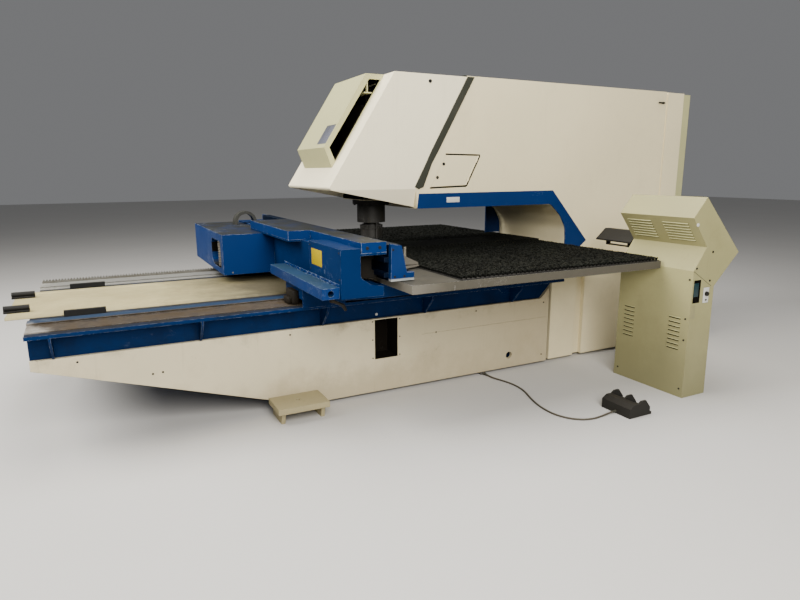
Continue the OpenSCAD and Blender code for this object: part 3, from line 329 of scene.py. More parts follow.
@dataclass(frozen=True)
class Paint:
    """A painted, printed or moulded surface with its dirt and wear."""

    name: str
    colour: Colour
    roughness: float = 0.42
    wear_colour: Colour = (0.42, 0.40, 0.36)
    wear: float = 0.4
    edge: float = 0.003
    grime_colour: Colour = (0.20, 0.16, 0.10)
    grime: float = 0.25
    grime_high: float = 0.9
    grime_low: float = 0.0
    streaks: float = 0.15
    scuffs: float = 0.3
    top_colour: Colour = (0.25, 0.23, 0.19)
    top: float = 0.0
    shade: float = 0.06
    peel: float = 0.04
    coat: float = 0.0
    gloss: float = 0.35
    zones: tuple[Zone, ...] = ()

    def make(self, effects: Effects) -> bpy.types.Material:
        """Build the material.

        Args:
            effects: the shared node groups.

        Returns:
            The new material.
        """
        material, desk, shader, where = start_material(self.name)
        clouds = desk.noise(where, 1.7, 5.0)
        dark = tuple(c * (1 - self.shade * 2.2) for c in self.colour)
        colour = desk.blend(desk.ramp(clouds, 0.3, 0.7), dark, self.colour)
        top = desk.group(effects.upward, Vector=where).outputs["Top"]
        colour = desk.blend(desk.math("MULTIPLY", top, self.top), colour, self.top_colour)
        dirt = desk.group(effects.grime, Vector=where, Scale=3.4, High=self.grime_high,
                          Low=self.grime_low).outputs["Dirt"]
        colour = desk.blend(desk.math("MULTIPLY", dirt, self.grime), colour, self.grime_colour)
        runs = desk.group(effects.runs, Vector=where, Scale=18.0).outputs["Streak"]
        colour = desk.blend(desk.math("MULTIPLY", runs, self.streaks), colour,
                            self.grime_colour)
        for zone in self.zones:
            colour = zone.lay(desk, effects, where, colour)[0]
        soft = desk.group(effects.soft_edge, Vector=where, Radius=self.edge, Breakup=26.0)
        scratch = desk.group(effects.scuffs, Vector=where, Scale=8.0).outputs["Scratch"]
        rubbed = desk.math("MAXIMUM", desk.math("MULTIPLY", scratch, self.scuffs),
                           desk.math("MULTIPLY", soft.outputs["Edge"], self.wear))
        colour = desk.blend(rubbed, colour, self.wear_colour)
        desk.feed(shader.inputs["Base Color"], colour)
        fine = desk.noise(where, 260.0, 2.0)
        rough = desk.math("ADD", self.roughness - 0.06,
                          desk.math("MULTIPLY", desk.math("ADD", dirt, clouds), 0.14), True)
        desk.feed(shader.inputs["Roughness"], rough)
        bump = desk.put("Bump", {"Strength": self.peel, "Distance": 0.002, "Height": fine,
                                 "Normal": soft.outputs["Normal"]})
        desk.feed(shader.inputs["Normal"], bump.outputs[0])
        shader.inputs["Coat Weight"].default_value = self.coat
        shader.inputs["Specular IOR Level"].default_value = self.gloss
        return material


@dataclass(frozen=True)
class Metal:
    """Bare metal with brushing, tarnish and grease."""

    name: str
    colour: Colour
    roughness: float = 0.38
    metallic: float = 0.9
    stain_colour: Colour = (0.16, 0.12, 0.08)
    stain: float = 0.4
    stain_scale: float = 6.0
    grain: Point = (3.0, 60.0, 60.0)
    grain_depth: float = 0.15
    edge: float = 0.0015
    bright: float = 0.3
    top_colour: Colour = (0.05, 0.045, 0.035)
    top: float = 0.0
    zones: tuple[Zone, ...] = ()

    def make(self, effects: Effects) -> bpy.types.Material:
        """Build the material.

        Args:
            effects: the shared node groups.

        Returns:
            The new material.
        """
        material, desk, shader, where = start_material(self.name)
        lines = desk.noise(desk.stretched(where, self.grain), 6.0, 5.0, 0.7)
        blotch = desk.noise(where, self.stain_scale, 7.0, 0.68)
        stain = desk.math("MULTIPLY", desk.ramp(blotch, 0.38, 0.66), self.stain)
        pale = tuple(min(1.0, c * 1.25) for c in self.colour)
        colour = desk.blend(lines, self.colour, pale)
        colour = desk.blend(stain, colour, self.stain_colour)
        for zone in self.zones:
            colour, covered = zone.lay(desk, effects, where, colour)
            stain = desk.math("MULTIPLY", stain, desk.math("SUBTRACT", 1.0, covered))
        if self.top:
            top = desk.group(effects.upward, Vector=where).outputs["Top"]
            colour = desk.blend(desk.math("MULTIPLY", top, self.top), colour, self.top_colour)
        soft = desk.group(effects.soft_edge, Vector=where, Radius=self.edge, Breakup=40.0)
        colour = desk.blend(desk.math("MULTIPLY", soft.outputs["Edge"], self.bright), colour,
                            BARE_EDGE)
        scratch = desk.group(effects.scuffs, Vector=where, Scale=14.0)
        colour = desk.blend(desk.math("MULTIPLY", scratch.outputs["Scratch"], 0.35), colour,
                            FINE_SCRATCH)
        desk.feed(shader.inputs["Base Color"], colour)
        desk.feed(shader.inputs["Metallic"],
                  desk.math("SUBTRACT", self.metallic, desk.math("MULTIPLY", stain, 0.8), True))
        desk.feed(shader.inputs["Roughness"],
                  desk.math("ADD", self.roughness,
                            desk.math("MULTIPLY", desk.math("ADD", stain, lines), 0.22), True))
        bump = desk.put("Bump", {"Strength": self.grain_depth, "Distance": 0.001,
                                 "Height": lines, "Normal": soft.outputs["Normal"]})
        desk.feed(shader.inputs["Normal"], bump.outputs[0])
        return material


@dataclass(frozen=True)
class Bristle:
    """Black nylon bristles with dust on their tips."""

    name: str
    colour: Colour = (0.0025, 0.0028, 0.0022)
    tip_colour: Colour = (0.011, 0.0125, 0.009)
    low: float = 0.900
    high: float = 0.926
    gloss: float = 0.12

    def make(self) -> bpy.types.Material:
        """Build the material, which needs none of the shared groups.

        Returns:
            The new material.
        """
        material, desk, shader, where = start_material(self.name)
        hairs = desk.noise(desk.stretched(where, (1.0, 1.0, 0.08)), 900.0, 2.0)
        split = desk.put("SeparateXYZ", {0: where})
        tip = desk.ramp(split.outputs["Z"], self.low, self.high)
        patch = desk.noise(where, 2.3, 5.0)
        share = desk.math("MULTIPLY", desk.math("MULTIPLY", tip, tip),
                          desk.ramp(patch, 0.35, 0.7, 0.25, 1.0))
        share = desk.math("MULTIPLY", share, desk.ramp(hairs, 0.35, 0.65, 0.3, 1.0), True)
        desk.feed(shader.inputs["Base Color"], desk.blend(share, self.colour, self.tip_colour))
        desk.feed(shader.inputs["Roughness"], desk.ramp(hairs, 0.2, 0.8, 0.6, 0.9))
        shader.inputs["Specular IOR Level"].default_value = self.gloss
        bump = desk.put("Bump", {"Strength": 0.6, "Distance": 0.001, "Height": hairs})
        desk.feed(shader.inputs["Normal"], bump.outputs[0])
        return material


class Finishes:
    """Every finish of the machine, each with the CAD nodes that wear it."""

    def __init__(self) -> None:
        """Build the materials."""
        effects = Effects()
        blue_shadow, blue_worn = (0.001, 0.005, 0.016), (0.30, 0.37, 0.46)
        blue = (0.0, 0.024, 0.120)
        plate_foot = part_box("rail_end_plates")[0][2]
        panel_top = Zone((0.16, 0.13, 0.075), (0.0, 0.0, 1.0), 0.52, 0.70, 0.6)
        # Painted shade: this zone darkens the side panels towards the rear, under the side tables.
        panel_rear_shade = Zone((0.42, 0.35, 0.22), (0.0, 1.0, 0.0), -0.4, 0.9, 0.6)
        # Painted shade: this zone darkens the console's body towards the bottom.
        console_low_shade = Zone((0.20, 0.19, 0.10), (0.0, 0.0, -1.0), -0.80, 0.1, 0.6)
        # Painted shade: this zone turns the centre cover near black towards the rear, where it
        # lies under the carriage and the tables.
        cover_rear_shade = Zone((0.035, 0.030, 0.018), (0.0, 1.0, 0.0), -1.65, -0.95, 0.85)
        plate_edge = Zone((0.36, 0.37, 0.34), (0.0, 0.0, -1.0), -plate_foot - 0.016,
                          -plate_foot - 0.010, 0.85, 0.02)
        # Painted highlight: this zone lightens the side tables' front part, whose edges catch the
        # light.
        table_front_highlight = Zone((0.26, 0.24, 0.20), (0.0, -1.0, 0.0), 0.22, 0.45, 0.5, 0.3)
        way_strip = Zone((0.006, 0.032, 0.080), (-1.0, 0.0, 0.0), -0.628, -0.622, 0.9, 0.01)
        way_rim = Zone((0.30, 0.29, 0.25), (-1.0, 0.0, 0.0), 0.30, 0.31, 0.75, 0.0)
        way_end = Zone((0.50, 0.47, 0.42), (0.0, -1.0, 0.0), 2.18, 2.42, 0.8)
        recipes = {
            "white": Paint("warm_white_paint", (0.84, 0.745, 0.48), 0.40, grime=0.20,
                           grime_colour=(0.30, 0.23, 0.12), wear=0.3, streaks=0.10, shade=0.03,
                           wear_colour=(0.32, 0.27, 0.19), scuffs=0.2),
            # Head hood: a brighter copy of the white paint, painted light where the hood faces the
            # light.
            "lit_hood_white": Paint("lit_hood_white_paint", (0.97, 0.89, 0.65), 0.38, grime=0.12,
                                grime_colour=(0.30, 0.24, 0.13), wear=0.3, streaks=0.08,
                                shade=0.02, wear_colour=(0.32, 0.27, 0.19), scuffs=0.2),
            # Side panels: a darker copy of the white paint, painted shade of the low panels under
            # the tables, together with their real grime.
            "shaded_dirty_panel_white": Paint("shaded_dirty_panel_paint", (0.62, 0.55, 0.37), 0.45, grime=0.45,
                                 grime_colour=(0.26, 0.20, 0.11), wear=0.45, streaks=0.3,
                                 grime_high=0.30, shade=0.05, scuffs=0.35,
                                 wear_colour=(0.25, 0.20, 0.14), zones=(panel_top, panel_rear_shade)),
            "cream": Paint("cream_paint", (0.50, 0.485, 0.25), 0.42, grime=0.25, shade=0.05,
                           grime_colour=(0.24, 0.20, 0.10), streaks=0.15,
                           wear_colour=(0.22, 0.20, 0.12)),
            "console_cream": Paint("console_cream_paint", (0.36, 0.335, 0.16), 0.42, grime=0.5,
                                   shade=0.06, grime_colour=(0.20, 0.18, 0.08), streaks=0.3,
                                   grime_high=0.7, wear_colour=(0.16, 0.14, 0.08), top=0.6,
                                   top_colour=(0.23, 0.21, 0.095), zones=(console_low_shade,)),
            "floor_cream": Paint("dirty_cream_paint", (0.56, 0.50, 0.28), 0.5, grime=0.6,
                                 grime_colour=(0.19, 0.15, 0.08), grime_high=0.8, grime_low=0.6,
                                 scuffs=0.8, shade=0.1, wear_colour=(0.12, 0.10, 0.07)),
            "bed_cream": Paint("centre_cover_paint", (0.51, 0.45, 0.235), 0.42, grime=0.5,
                               grime_colour=(0.22, 0.17, 0.08), grime_high=1.0, grime_low=0.5,
                               scuffs=0.7, shade=0.08, streaks=0.0, wear_colour=(0.16, 0.12, 0.07),
                               zones=(cover_rear_shade,)),
            "blue": Paint("worn_blue_paint", blue, 0.42, wear=0.75, scuffs=0.5, streaks=0.1,
                          wear_colour=blue_worn, grime=0.35, edge=0.004, gloss=0.2,
                          grime_colour=blue_shadow, grime_high=0.8, shade=0.1),
            "bar_blue": Paint("bar_blue_paint", blue, 0.45, wear=0.85, scuffs=0.6, streaks=0.1,
                              wear_colour=blue_worn, grime=0.35, edge=0.004, gloss=0.15,
                              grime_colour=blue_shadow, shade=0.1, top=0.8,
                              top_colour=(0.020, 0.048, 0.070)),
            "end_blue": Paint("end_plate_paint", blue, 0.42, wear=0.9, scuffs=0.6, streaks=0.1,
                              wear_colour=(0.34, 0.40, 0.46), grime=0.35, edge=0.004, gloss=0.2,
                              grime_colour=blue_shadow, shade=0.1, zones=(plate_edge,)),
            "shaded_blue": Paint("shaded_rail_paint", blue_shadow, 0.5, wear=0.5,
                                 wear_colour=(0.09, 0.11, 0.13), scuffs=0.3, streaks=0.0,
                                 grime=0.6, grime_colour=(0.004, 0.005, 0.006), gloss=0.06),
            "deep_blue": Paint("deep_blue_paint", (0.0, 0.018, 0.082), 0.48, wear=0.6, scuffs=0.4,
                               streaks=0.1, wear_colour=(0.28, 0.34, 0.42), grime=0.5, edge=0.004,
                               gloss=0.06, shade=0.1, grime_colour=(0.001, 0.003, 0.008)),
            "bed_blue": Paint("greasy_blue_paint", (0.0, 0.020, 0.092), 0.45, wear=0.8,
                              wear_colour=(0.26, 0.30, 0.33), scuffs=0.5, streaks=0.25, grime=0.6,
                              grime_colour=(0.003, 0.005, 0.008), edge=0.005, grime_high=0.75,
                              grime_low=0.4, top=0.85, gloss=0.06,
                              top_colour=(0.022, 0.022, 0.020), shade=0.12),
            "cover_blue": Paint("cover_blue_paint", blue, 0.42, wear=0.9, scuffs=0.9,
                                wear_colour=(0.40, 0.45, 0.50), edge=0.005, top=0.97,
                                top_colour=(0.020, 0.020, 0.014), grime=0.3, gloss=0.1,
                                grime_colour=(0.01, 0.013, 0.018)),
            "dark": Paint("dark_paint", (0.010, 0.010, 0.010), 0.5, wear=0.5, scuffs=0.3,
                          wear_colour=(0.10, 0.09, 0.08), grime_colour=(0.04, 0.035, 0.025),
                          top=0.25, top_colour=(0.05, 0.045, 0.038), gloss=0.2),
            "rubber": Paint("olive_rubber", (0.030, 0.032, 0.022), 0.5, wear=0.5, scuffs=0.2,
                            wear_colour=(0.16, 0.16, 0.12), grime_colour=(0.07, 0.06, 0.04),
                            peel=0.1, gloss=0.3),
            "cord_rubber": Paint("cord_rubber", (0.022, 0.021, 0.019), 0.55, wear=0.0, scuffs=0.0,
                                 top=0.4, top_colour=(0.075, 0.068, 0.055), peel=0.1),
            "chain": Paint("chain_plastic", (0.030, 0.031, 0.026), 0.5, wear=0.3, scuffs=0.2,
                           wear_colour=(0.25, 0.24, 0.2)),
            "yellow": Paint("yellow_plate", (0.43, 0.315, 0.0), 0.5, wear=0.2, grime=0.15,
                            grime_colour=(0.2, 0.14, 0.0), edge=0.001, scuffs=0.3, streaks=0.0,
                            gloss=0.05),
            "plate": Paint("white_plate", (0.62, 0.62, 0.57), 0.35, wear=0.2, grime=0.1,
                           edge=0.001, scuffs=0.3, streaks=0.0),
            "grey_plate": Paint("grey_blue_plate", (0.125, 0.132, 0.165), 0.35, wear=0.1,
                                grime=0.1, edge=0.001, streaks=0.0),
            "cream_plate": Paint("cream_plate", (0.30, 0.28, 0.14), 0.35, wear=0.1, grime=0.2,
                                 edge=0.001, streaks=0.0),
            "red": Paint("red_plastic", (0.45, 0.02, 0.015), 0.3, wear=0.1, grime=0.2, coat=0.4,
                         streaks=0.0),
            "key_grey": Paint("key_plastic", (0.40, 0.39, 0.34), 0.4, wear=0.1, grime=0.3,
                              streaks=0.0, edge=0.0008),
            "teal": Paint("teal_plastic", (0.006, 0.032, 0.040), 0.35, wear=0.1, grime=0.2,
                          streaks=0.0, edge=0.0008),
            "green": Paint("green_plastic", (0.02, 0.22, 0.06), 0.3, wear=0.1, streaks=0.0),
            "screen": Paint("screen_glass", (0.012, 0.016, 0.016), 0.12, wear=0.0, scuffs=0.1,
                            streaks=0.0, peel=0.0, coat=0.6),
            # Near black: painted shade in the linings, the louvre backs and the socket recess, and
            # the real dark joint round the hatch.
            "shade_and_joint_black": Paint("shade_and_joint_black_paint", (0.006, 0.005, 0.004), 0.8, wear=0.1, scuffs=0.1,
                          grime_colour=(0.018, 0.014, 0.009), streaks=0.0, gloss=0.05),
            "black_grease": Paint("black_grease", (0.008, 0.0075, 0.006), 0.45, wear=0.3,
                                  wear_colour=(0.14, 0.13, 0.11), scuffs=0.2, streaks=0.0,
                                  grime_colour=(0.016, 0.011, 0.006), grime=0.7, grime_high=1.6,
                                  gloss=0.12),
            # Side tables: top and top_colour darken the faces that look up, painted shade of the
            # tops against their lit edges, over the plates' real brown stain.
            "zinc": Metal("dull_zinc", (0.090, 0.082, 0.062), 0.50, 0.5, stain=0.6,
                          stain_colour=(0.034, 0.029, 0.018), stain_scale=4.0,
                          grain=(2.0, 2.0, 60.0), bright=0.8, top=0.85, zones=(table_front_highlight,),
                          top_colour=(0.024, 0.022, 0.016)),
            "steel": Metal("machined_steel", (0.26, 0.24, 0.20), 0.34, 0.9, stain=0.6,
                           stain_colour=(0.08, 0.06, 0.035), grain=(60.0, 60.0, 8.0)),
            # Ram, guide and tool holder: near-black steel, painted shade of the dark space under
            # the head over real oil.
            "shaded_oily_steel": Metal("shaded_oily_steel", (0.022, 0.021, 0.018), 0.42, 0.5, stain=0.7,
                                stain_colour=(0.010, 0.008, 0.006), grain=(60.0, 60.0, 8.0),
                                bright=0.3),
            "rack_steel": Metal("rack_steel", (0.15, 0.145, 0.125), 0.36, 0.8, stain=0.5,
                                stain_colour=(0.06, 0.05, 0.03), bright=0.9),
            "grease": Metal("greasy_way", (0.050, 0.035, 0.019), 0.36, 0.3, stain=0.85,
                            stain_colour=(0.014, 0.009, 0.005), stain_scale=9.0,
                            grain=(50.0, 1.5, 50.0), bright=0.6,
                            zones=(way_strip, way_rim, way_end)),
            "floor_steel": Metal("floor_steel", (0.06, 0.055, 0.048), 0.6, 0.4, stain=0.6),
        }
        self.by_name = {name: recipe.make(effects) for name, recipe in recipes.items()}
        self.by_name["bristle"] = Bristle("black_bristle").make()

    def dress_nodes(self) -> None:
        """Give each CAD node its material."""
        worn_by = {
            "white": "column_foot c_frame side_hatch rear_cover",
            "lit_hood_white": "head_hood",
            "shaded_dirty_panel_white": "side_panels",
            "cream": "motor_cover rear_duct",
            "console_cream": "console_cabinet",
            "floor_cream": "foot_brackets",
            "bed_cream": "centre_cover",
            "blue": "throat_trims",
            "bar_blue": "channel_bar",
            "end_blue": "rail_end_plates",
            "shaded_blue": "transverse_rail",
            "deep_blue": "carriage_beam saddles table_arms",
            "bed_blue": "machine_bed bed_flange",
            "cover_blue": "carriage_cover drive_box",
            "dark": "hood_lock index_motor hatch_lock_upper hatch_lock_lower rear_latch "
                    "cam_bars end_buffers console_panel console_tray hold_button foot_switch "
                    "pedal_left pedal_right",
            "rubber": "hood_seals hatch_seal",
            "chain": "cable_chain",
            "red": "stop_button",
            "green": "start_button",
            "zinc": "side_tables",
            "steel": "die_base die_holder die clamp_bodies clamp_jaw_far "
                     "clamp_jaw_middle clamp_jaw_near",
            "black_grease": "guide_blocks",
            "shaded_oily_steel": "ram_guide ram tool_holder punch stripper",
            "rack_steel": "y_rack",
            "grease": "guide_ways",
            "floor_steel": "base_soles",
            "bristle": "centre_table brush_fields",
            "cord_rubber": "foot_cord",
        }
        for finish, names in worn_by.items():
            for name in names.split():
                self.put_on(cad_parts[name], self.by_name[finish])

    @staticmethod
    def put_on(piece: bpy.types.Object, material: bpy.types.Material) -> None:
        """Give a piece one material in place of those it has."""
        piece.data.materials.clear()
        piece.data.materials.append(material)


# ---------------------------------------------------------------- making pieces
class Workshop:
    """Turns bmesh work into pieces that ride on the machine."""

    def __init__(self, finishes: Finishes) -> None:
        """Keep the finishes."""
        self.finishes = finishes
        self.count = 0

    @contextmanager
    def piece(self, name: str, finish: str, body: Body, slot: str,
              smooth: float | None = 40.0) -> Iterator[BMesh]:
        """Hand out an empty bmesh, and make a piece of it once it is filled.

        Args:
            name, finish, body, slot, smooth: as in finish_piece.

        Yields:
            The bmesh to fill.
        """
        bm = bmesh.new()
        yield bm
        self.finish_piece(bm, name, finish, body, slot, smooth)

    def finish_piece(self, bm: BMesh, name: str, finish: str, body: Body, slot: str,
                     smooth: float | None = 40.0) -> bpy.types.Object:
        """Make an object of a bmesh, shade it and let it ride.

        Args:
            bm: the finished bmesh, in the machine's frame.
            name: the piece's name.
            finish: its finish's name.
            body: what it moves with.
            slot: the record's material slot; not used.
            smooth: angle in degrees under which edges shade smoothly, or None.

        Returns:
            The new object.
        """
        mesh = bpy.data.meshes.new(name)
        bm.to_mesh(mesh)
        bm.free()
        if smooth is not None:
            for face in mesh.polygons:
                face.use_smooth = True
            mesh.set_sharp_from_angle(angle=math.radians(smooth))
        piece = bpy.data.objects.new(name, mesh)
        bpy.context.scene.collection.objects.link(piece)
        mesh.materials.append(self.finishes.by_name[finish])
        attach(piece, body.value)
        self.count += 1
        log.info("%s: %d faces", name, len(mesh.polygons))
        return piece

    @staticmethod
    def block(bm: BMesh, low: Point, high: Point,
              round_by: float = 0.0) -> list[BMVert]:
        """Add a block with rounded edges.

        Args:
            bm: the bmesh to add to.
            low: lowest corner.
            high: highest corner.
            round_by: radius of its edges.

        Returns:
            The block's vertices before the rounding.
        """
        a, b = Vector(low), Vector(high)
        size = Matrix.Diagonal((*(b - a), 1.0))
        made = bmesh.ops.create_cube(bm, size=1.0,
                                     matrix=Matrix.Translation((a + b) / 2) @ size)
        if round_by > 0:
            edges = list({e for v in made["verts"] for e in v.link_edges})
            bmesh.ops.bevel(bm, geom=edges, offset=round_by, segments=2, profile=0.5,
                            affect="EDGES", material=-1)
        return made["verts"]

    @staticmethod
    def disc(bm: BMesh, centre: Point, normal: Point, radius: float, depth: float,
             sides: int = 24, top: float | None = None) -> list[BMVert]:
        """Add a round head, washer or sleeve that stands on a point along a normal.

        Args:
            bm: the bmesh to add to.
            centre: middle of its foot.
            normal: the way it stands.
            radius: radius at its foot.
            depth: its height.
            sides: number of sides.
            top: radius at its top, if it tapers.

        Returns:
            Its vertices.
        """
        turn = Vector((0, 0, 1)).rotation_difference(Vector(normal)).to_matrix().to_4x4()
        place = Matrix.Translation(Vector(centre) + Vector(normal).normalized() * depth / 2)
        made = bmesh.ops.create_cone(bm, cap_ends=True, segments=sides, radius1=radius,
                                     radius2=radius if top is None else top, depth=depth,
                                     matrix=place @ turn)
        return made["verts"]

    @staticmethod
    def niche(bm: BMesh, low: Point, high: Point, mouth: Point) -> None:
        """Add the inner walls of a recess, open on one side.

        Args:
            bm: the bmesh to add to.
            low: lowest corner.
            high: highest corner.
            mouth: the way the open side looks.
        """
        a, b = Vector(low), Vector(high)
        place = Matrix.Translation((a + b) / 2) @ Matrix.Diagonal((*(b - a), 1.0))
        made = bmesh.ops.create_cube(bm, size=1.0, matrix=place)["verts"]
        faces = list({f for v in made for f in v.link_faces})
        bm.normal_update()
        front = [f for f in faces if f.normal.dot(Vector(mouth)) > 0.9]
        bmesh.ops.reverse_faces(bm, faces=faces)
        bmesh.ops.delete(bm, geom=front, context="FACES_ONLY")

    @staticmethod
    def lean(origin: Point, along: Point) -> Matrix:
        """A place whose X stays the machine's and whose Y runs up a leaning face.

        Args:
            origin: the place's middle.
            along: direction of its Y, square to X.

        Returns:
            The place as a matrix, with its Z square to both.
        """
        side, run = Vector((1, 0, 0)), Vector(along).normalized()
        axes = Matrix((side, run, side.cross(run))).transposed().to_4x4()
        return Matrix.Translation(origin) @ axes


@dataclass
class Assembly:
    """A group of new pieces."""

    shop: Workshop


@dataclass
class FootCord(Assembly):
    """The free cord from the bed to the foot switch."""

    diameter: float = 0.012
    route: tuple[Point, ...] = (
        (749.5, 575, 13), (790, 576, 12), (840, 584, 9), (900, 604, 7), (960, 622, 6.6),
        (1040, 632, 6.6), (1120, 626, 6.6), (1200, 604, 6.6), (1290, 570, 6.6),
        (1380, 542, 6.6), (1470, 526, 6.6), (1550, 524, 6.6), (1620, 540, 6.6),
        (1680, 576, 6.6), (1722, 632, 6.6), (1738, 700, 6.6), (1734, 760, 7),
        (1728, 820, 10), (1725, 860, 12.5), (1725, 890, 13))
    steps: int = 3

    def path(self) -> list[Vector]:
        """The smooth line through the route's points.

        Returns:
            Points in metres, three for each span.
        """
        p = [Vector(q) / 1000 for q in self.route]
        last = len(p) - 1
        line = []
        for i in range(last):
            a, b, c, d = p[max(i - 1, 0)], p[i], p[i + 1], p[min(i + 2, last)]
            for k in range(self.steps):
                t = k / self.steps
                line.append(0.5 * ((2 * b) + (c - a) * t + (2 * a - 5 * b + 4 * c - d) * t * t
                                   + (3 * b - a - 3 * c + d) * t ** 3))
        return line + [p[last]]

    def build(self) -> None:
        """Make the cord and its two sleeves."""
        shop = self.shop
        line = self.path()
        curve = bpy.data.curves.new("foot_switch_cord", "CURVE")
        curve.dimensions = "3D"
        curve.bevel_depth = self.diameter / 2
        curve.bevel_resolution = 3
        curve.use_fill_caps = True
        spline = curve.splines.new("POLY")
        spline.points.add(len(line) - 1)
        for point, place in zip(spline.points, line):
            point.co = (*place, 1.0)
        cord = bpy.data.objects.new("foot_switch_cord", curve)
        bpy.context.scene.collection.objects.link(cord)
        curve.materials.append(shop.finishes.by_name["cord_rubber"])
        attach(cord, Body.FRAME.value)
        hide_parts("foot_cord")
        bm = bmesh.new()
        shop.disc(bm, (0.7495, 0.575, 0.013), (1, 0, 0), 0.0095, 0.034, 20, 0.0066)
        shop.disc(bm, (1.725, 0.890, 0.013), (0, -1, 0), 0.0095, 0.030, 20, 0.0066)
        shop.finish_piece(bm, "cord_sleeves", "rubber", Body.FRAME, "black_rubber")


@dataclass
class BrushTable(Assembly):
    """Rows of bristle tufts on their boards."""

    base: float = 0.900
    board: float = 0.005
    tip: float = 0.925
    pitch: float = 0.032
    step: float = 0.022
    radii: Span = (0.0055, 0.0105)
    centre_radii: Span = (0.0095, 0.0118)
    seed: int = 7

    def tuft(self, bm: BMesh, x: float, y: float, radii: Span) -> None:
        """Add one tuft at a place on the board, with its radius at the foot and the tips."""
        height = self.tip - self.base - self.board
        bmesh.ops.create_cone(
            bm, cap_ends=True, cap_tris=True, segments=7, radius1=radii[0], radius2=radii[1],
            depth=height,
            matrix=Matrix.Translation((x, y, self.base + self.board + height / 2)))

    def field(self, x0: float, x1: float, y0: float, y1: float, count_y: int,
              radii: Span) -> BMesh:
        """Fill a field with rows of ragged tufts.

        Args:
            x0: low end along X.
            x1: high end along X.
            y0: first row's middle.
            y1: last row's middle.
            count_y: number of rows.
            radii: a tuft's radius at the foot and at the tips.

        Returns:
            The field as a bmesh.
        """
        bm = bmesh.new()
        count_x = int((x1 - x0) / self.step)
        self.tuft(bm, x0 + self.step / 2, y0, radii)
        self.repeat(bm, Vector((self.step, 0, 0)), count_x)
        self.repeat(bm, Vector((0, (y1 - y0) / max(count_y - 1, 1), 0)), count_y)
        rand = random.Random(self.seed)
        for vert in bm.verts:
            if vert.co.z > self.tip - 0.004:
                vert.co.z -= rand.uniform(0.0, 0.006)
                vert.co.x += rand.uniform(-0.0035, 0.0035)
                vert.co.y += rand.uniform(-0.0035, 0.0035)
        return bm

    @staticmethod
    def repeat(bm: BMesh, step: Vector, count: int) -> None:
        """Repeat all that is in a bmesh along a line, doubling what is there each time.

        Args:
            bm: the bmesh.
            step: distance between two copies.
            count: number of copies wanted, the first one included.
        """
        one = (len(bm.verts), len(bm.edges), len(bm.faces))
        have = 1
        while have < count:
            take = min(have, count - have)
            for group in (bm.verts, bm.edges, bm.faces):
                group.ensure_lookup_table()
            source = (bm.verts[:one[0] * take] + bm.edges[:one[1] * take]
                      + bm.faces[:one[2] * take])
            copy = bmesh.ops.duplicate(bm, geom=source)["geom"]
            verts = [g for g in copy if isinstance(g, BMVert)]
            bmesh.ops.translate(bm, verts=verts, vec=step * have)
            have += take

    def build(self) -> None:
        """Make the two moving fields and the fixed one between them."""
        shop = self.shop
        fields = (
            ("near", 0.200, 1.492, -0.128, 1.459),
            ("far", -1.492, -0.200, -0.128, 1.539),
        )
        boards = bmesh.new()
        for side, x0, x1, y0, y1 in fields:
            rows = int((y1 - y0 - 0.018) / self.pitch) + 1
            last = y0 + 0.009 + (rows - 1) * self.pitch
            bm = self.field(x0 + 0.008, x1 - 0.008, y0 + 0.009, last, rows, self.radii)
            piece = shop.finish_piece(bm, f"bristles_{side}", "bristle", Body.CARRIAGE,
                                      "black_brush", None)
            shop.block(boards, (x0, y0, self.base), (x1, y1, self.base + self.board), 0.001)
        shop.finish_piece(boards, "bristle_boards", "dark", Body.CARRIAGE, "black_brush")
        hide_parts("brush_fields")
        rows = int((1.540 - 0.120 - 0.018) / self.pitch) + 1
        last = 0.129 + (rows - 1) * self.pitch
        bm = self.field(-0.184, 0.184, 0.129, last, rows, self.centre_radii)
        shop.finish_piece(bm, "bristles_centre", "bristle", Body.FRAME,
                          "black_brush", None)


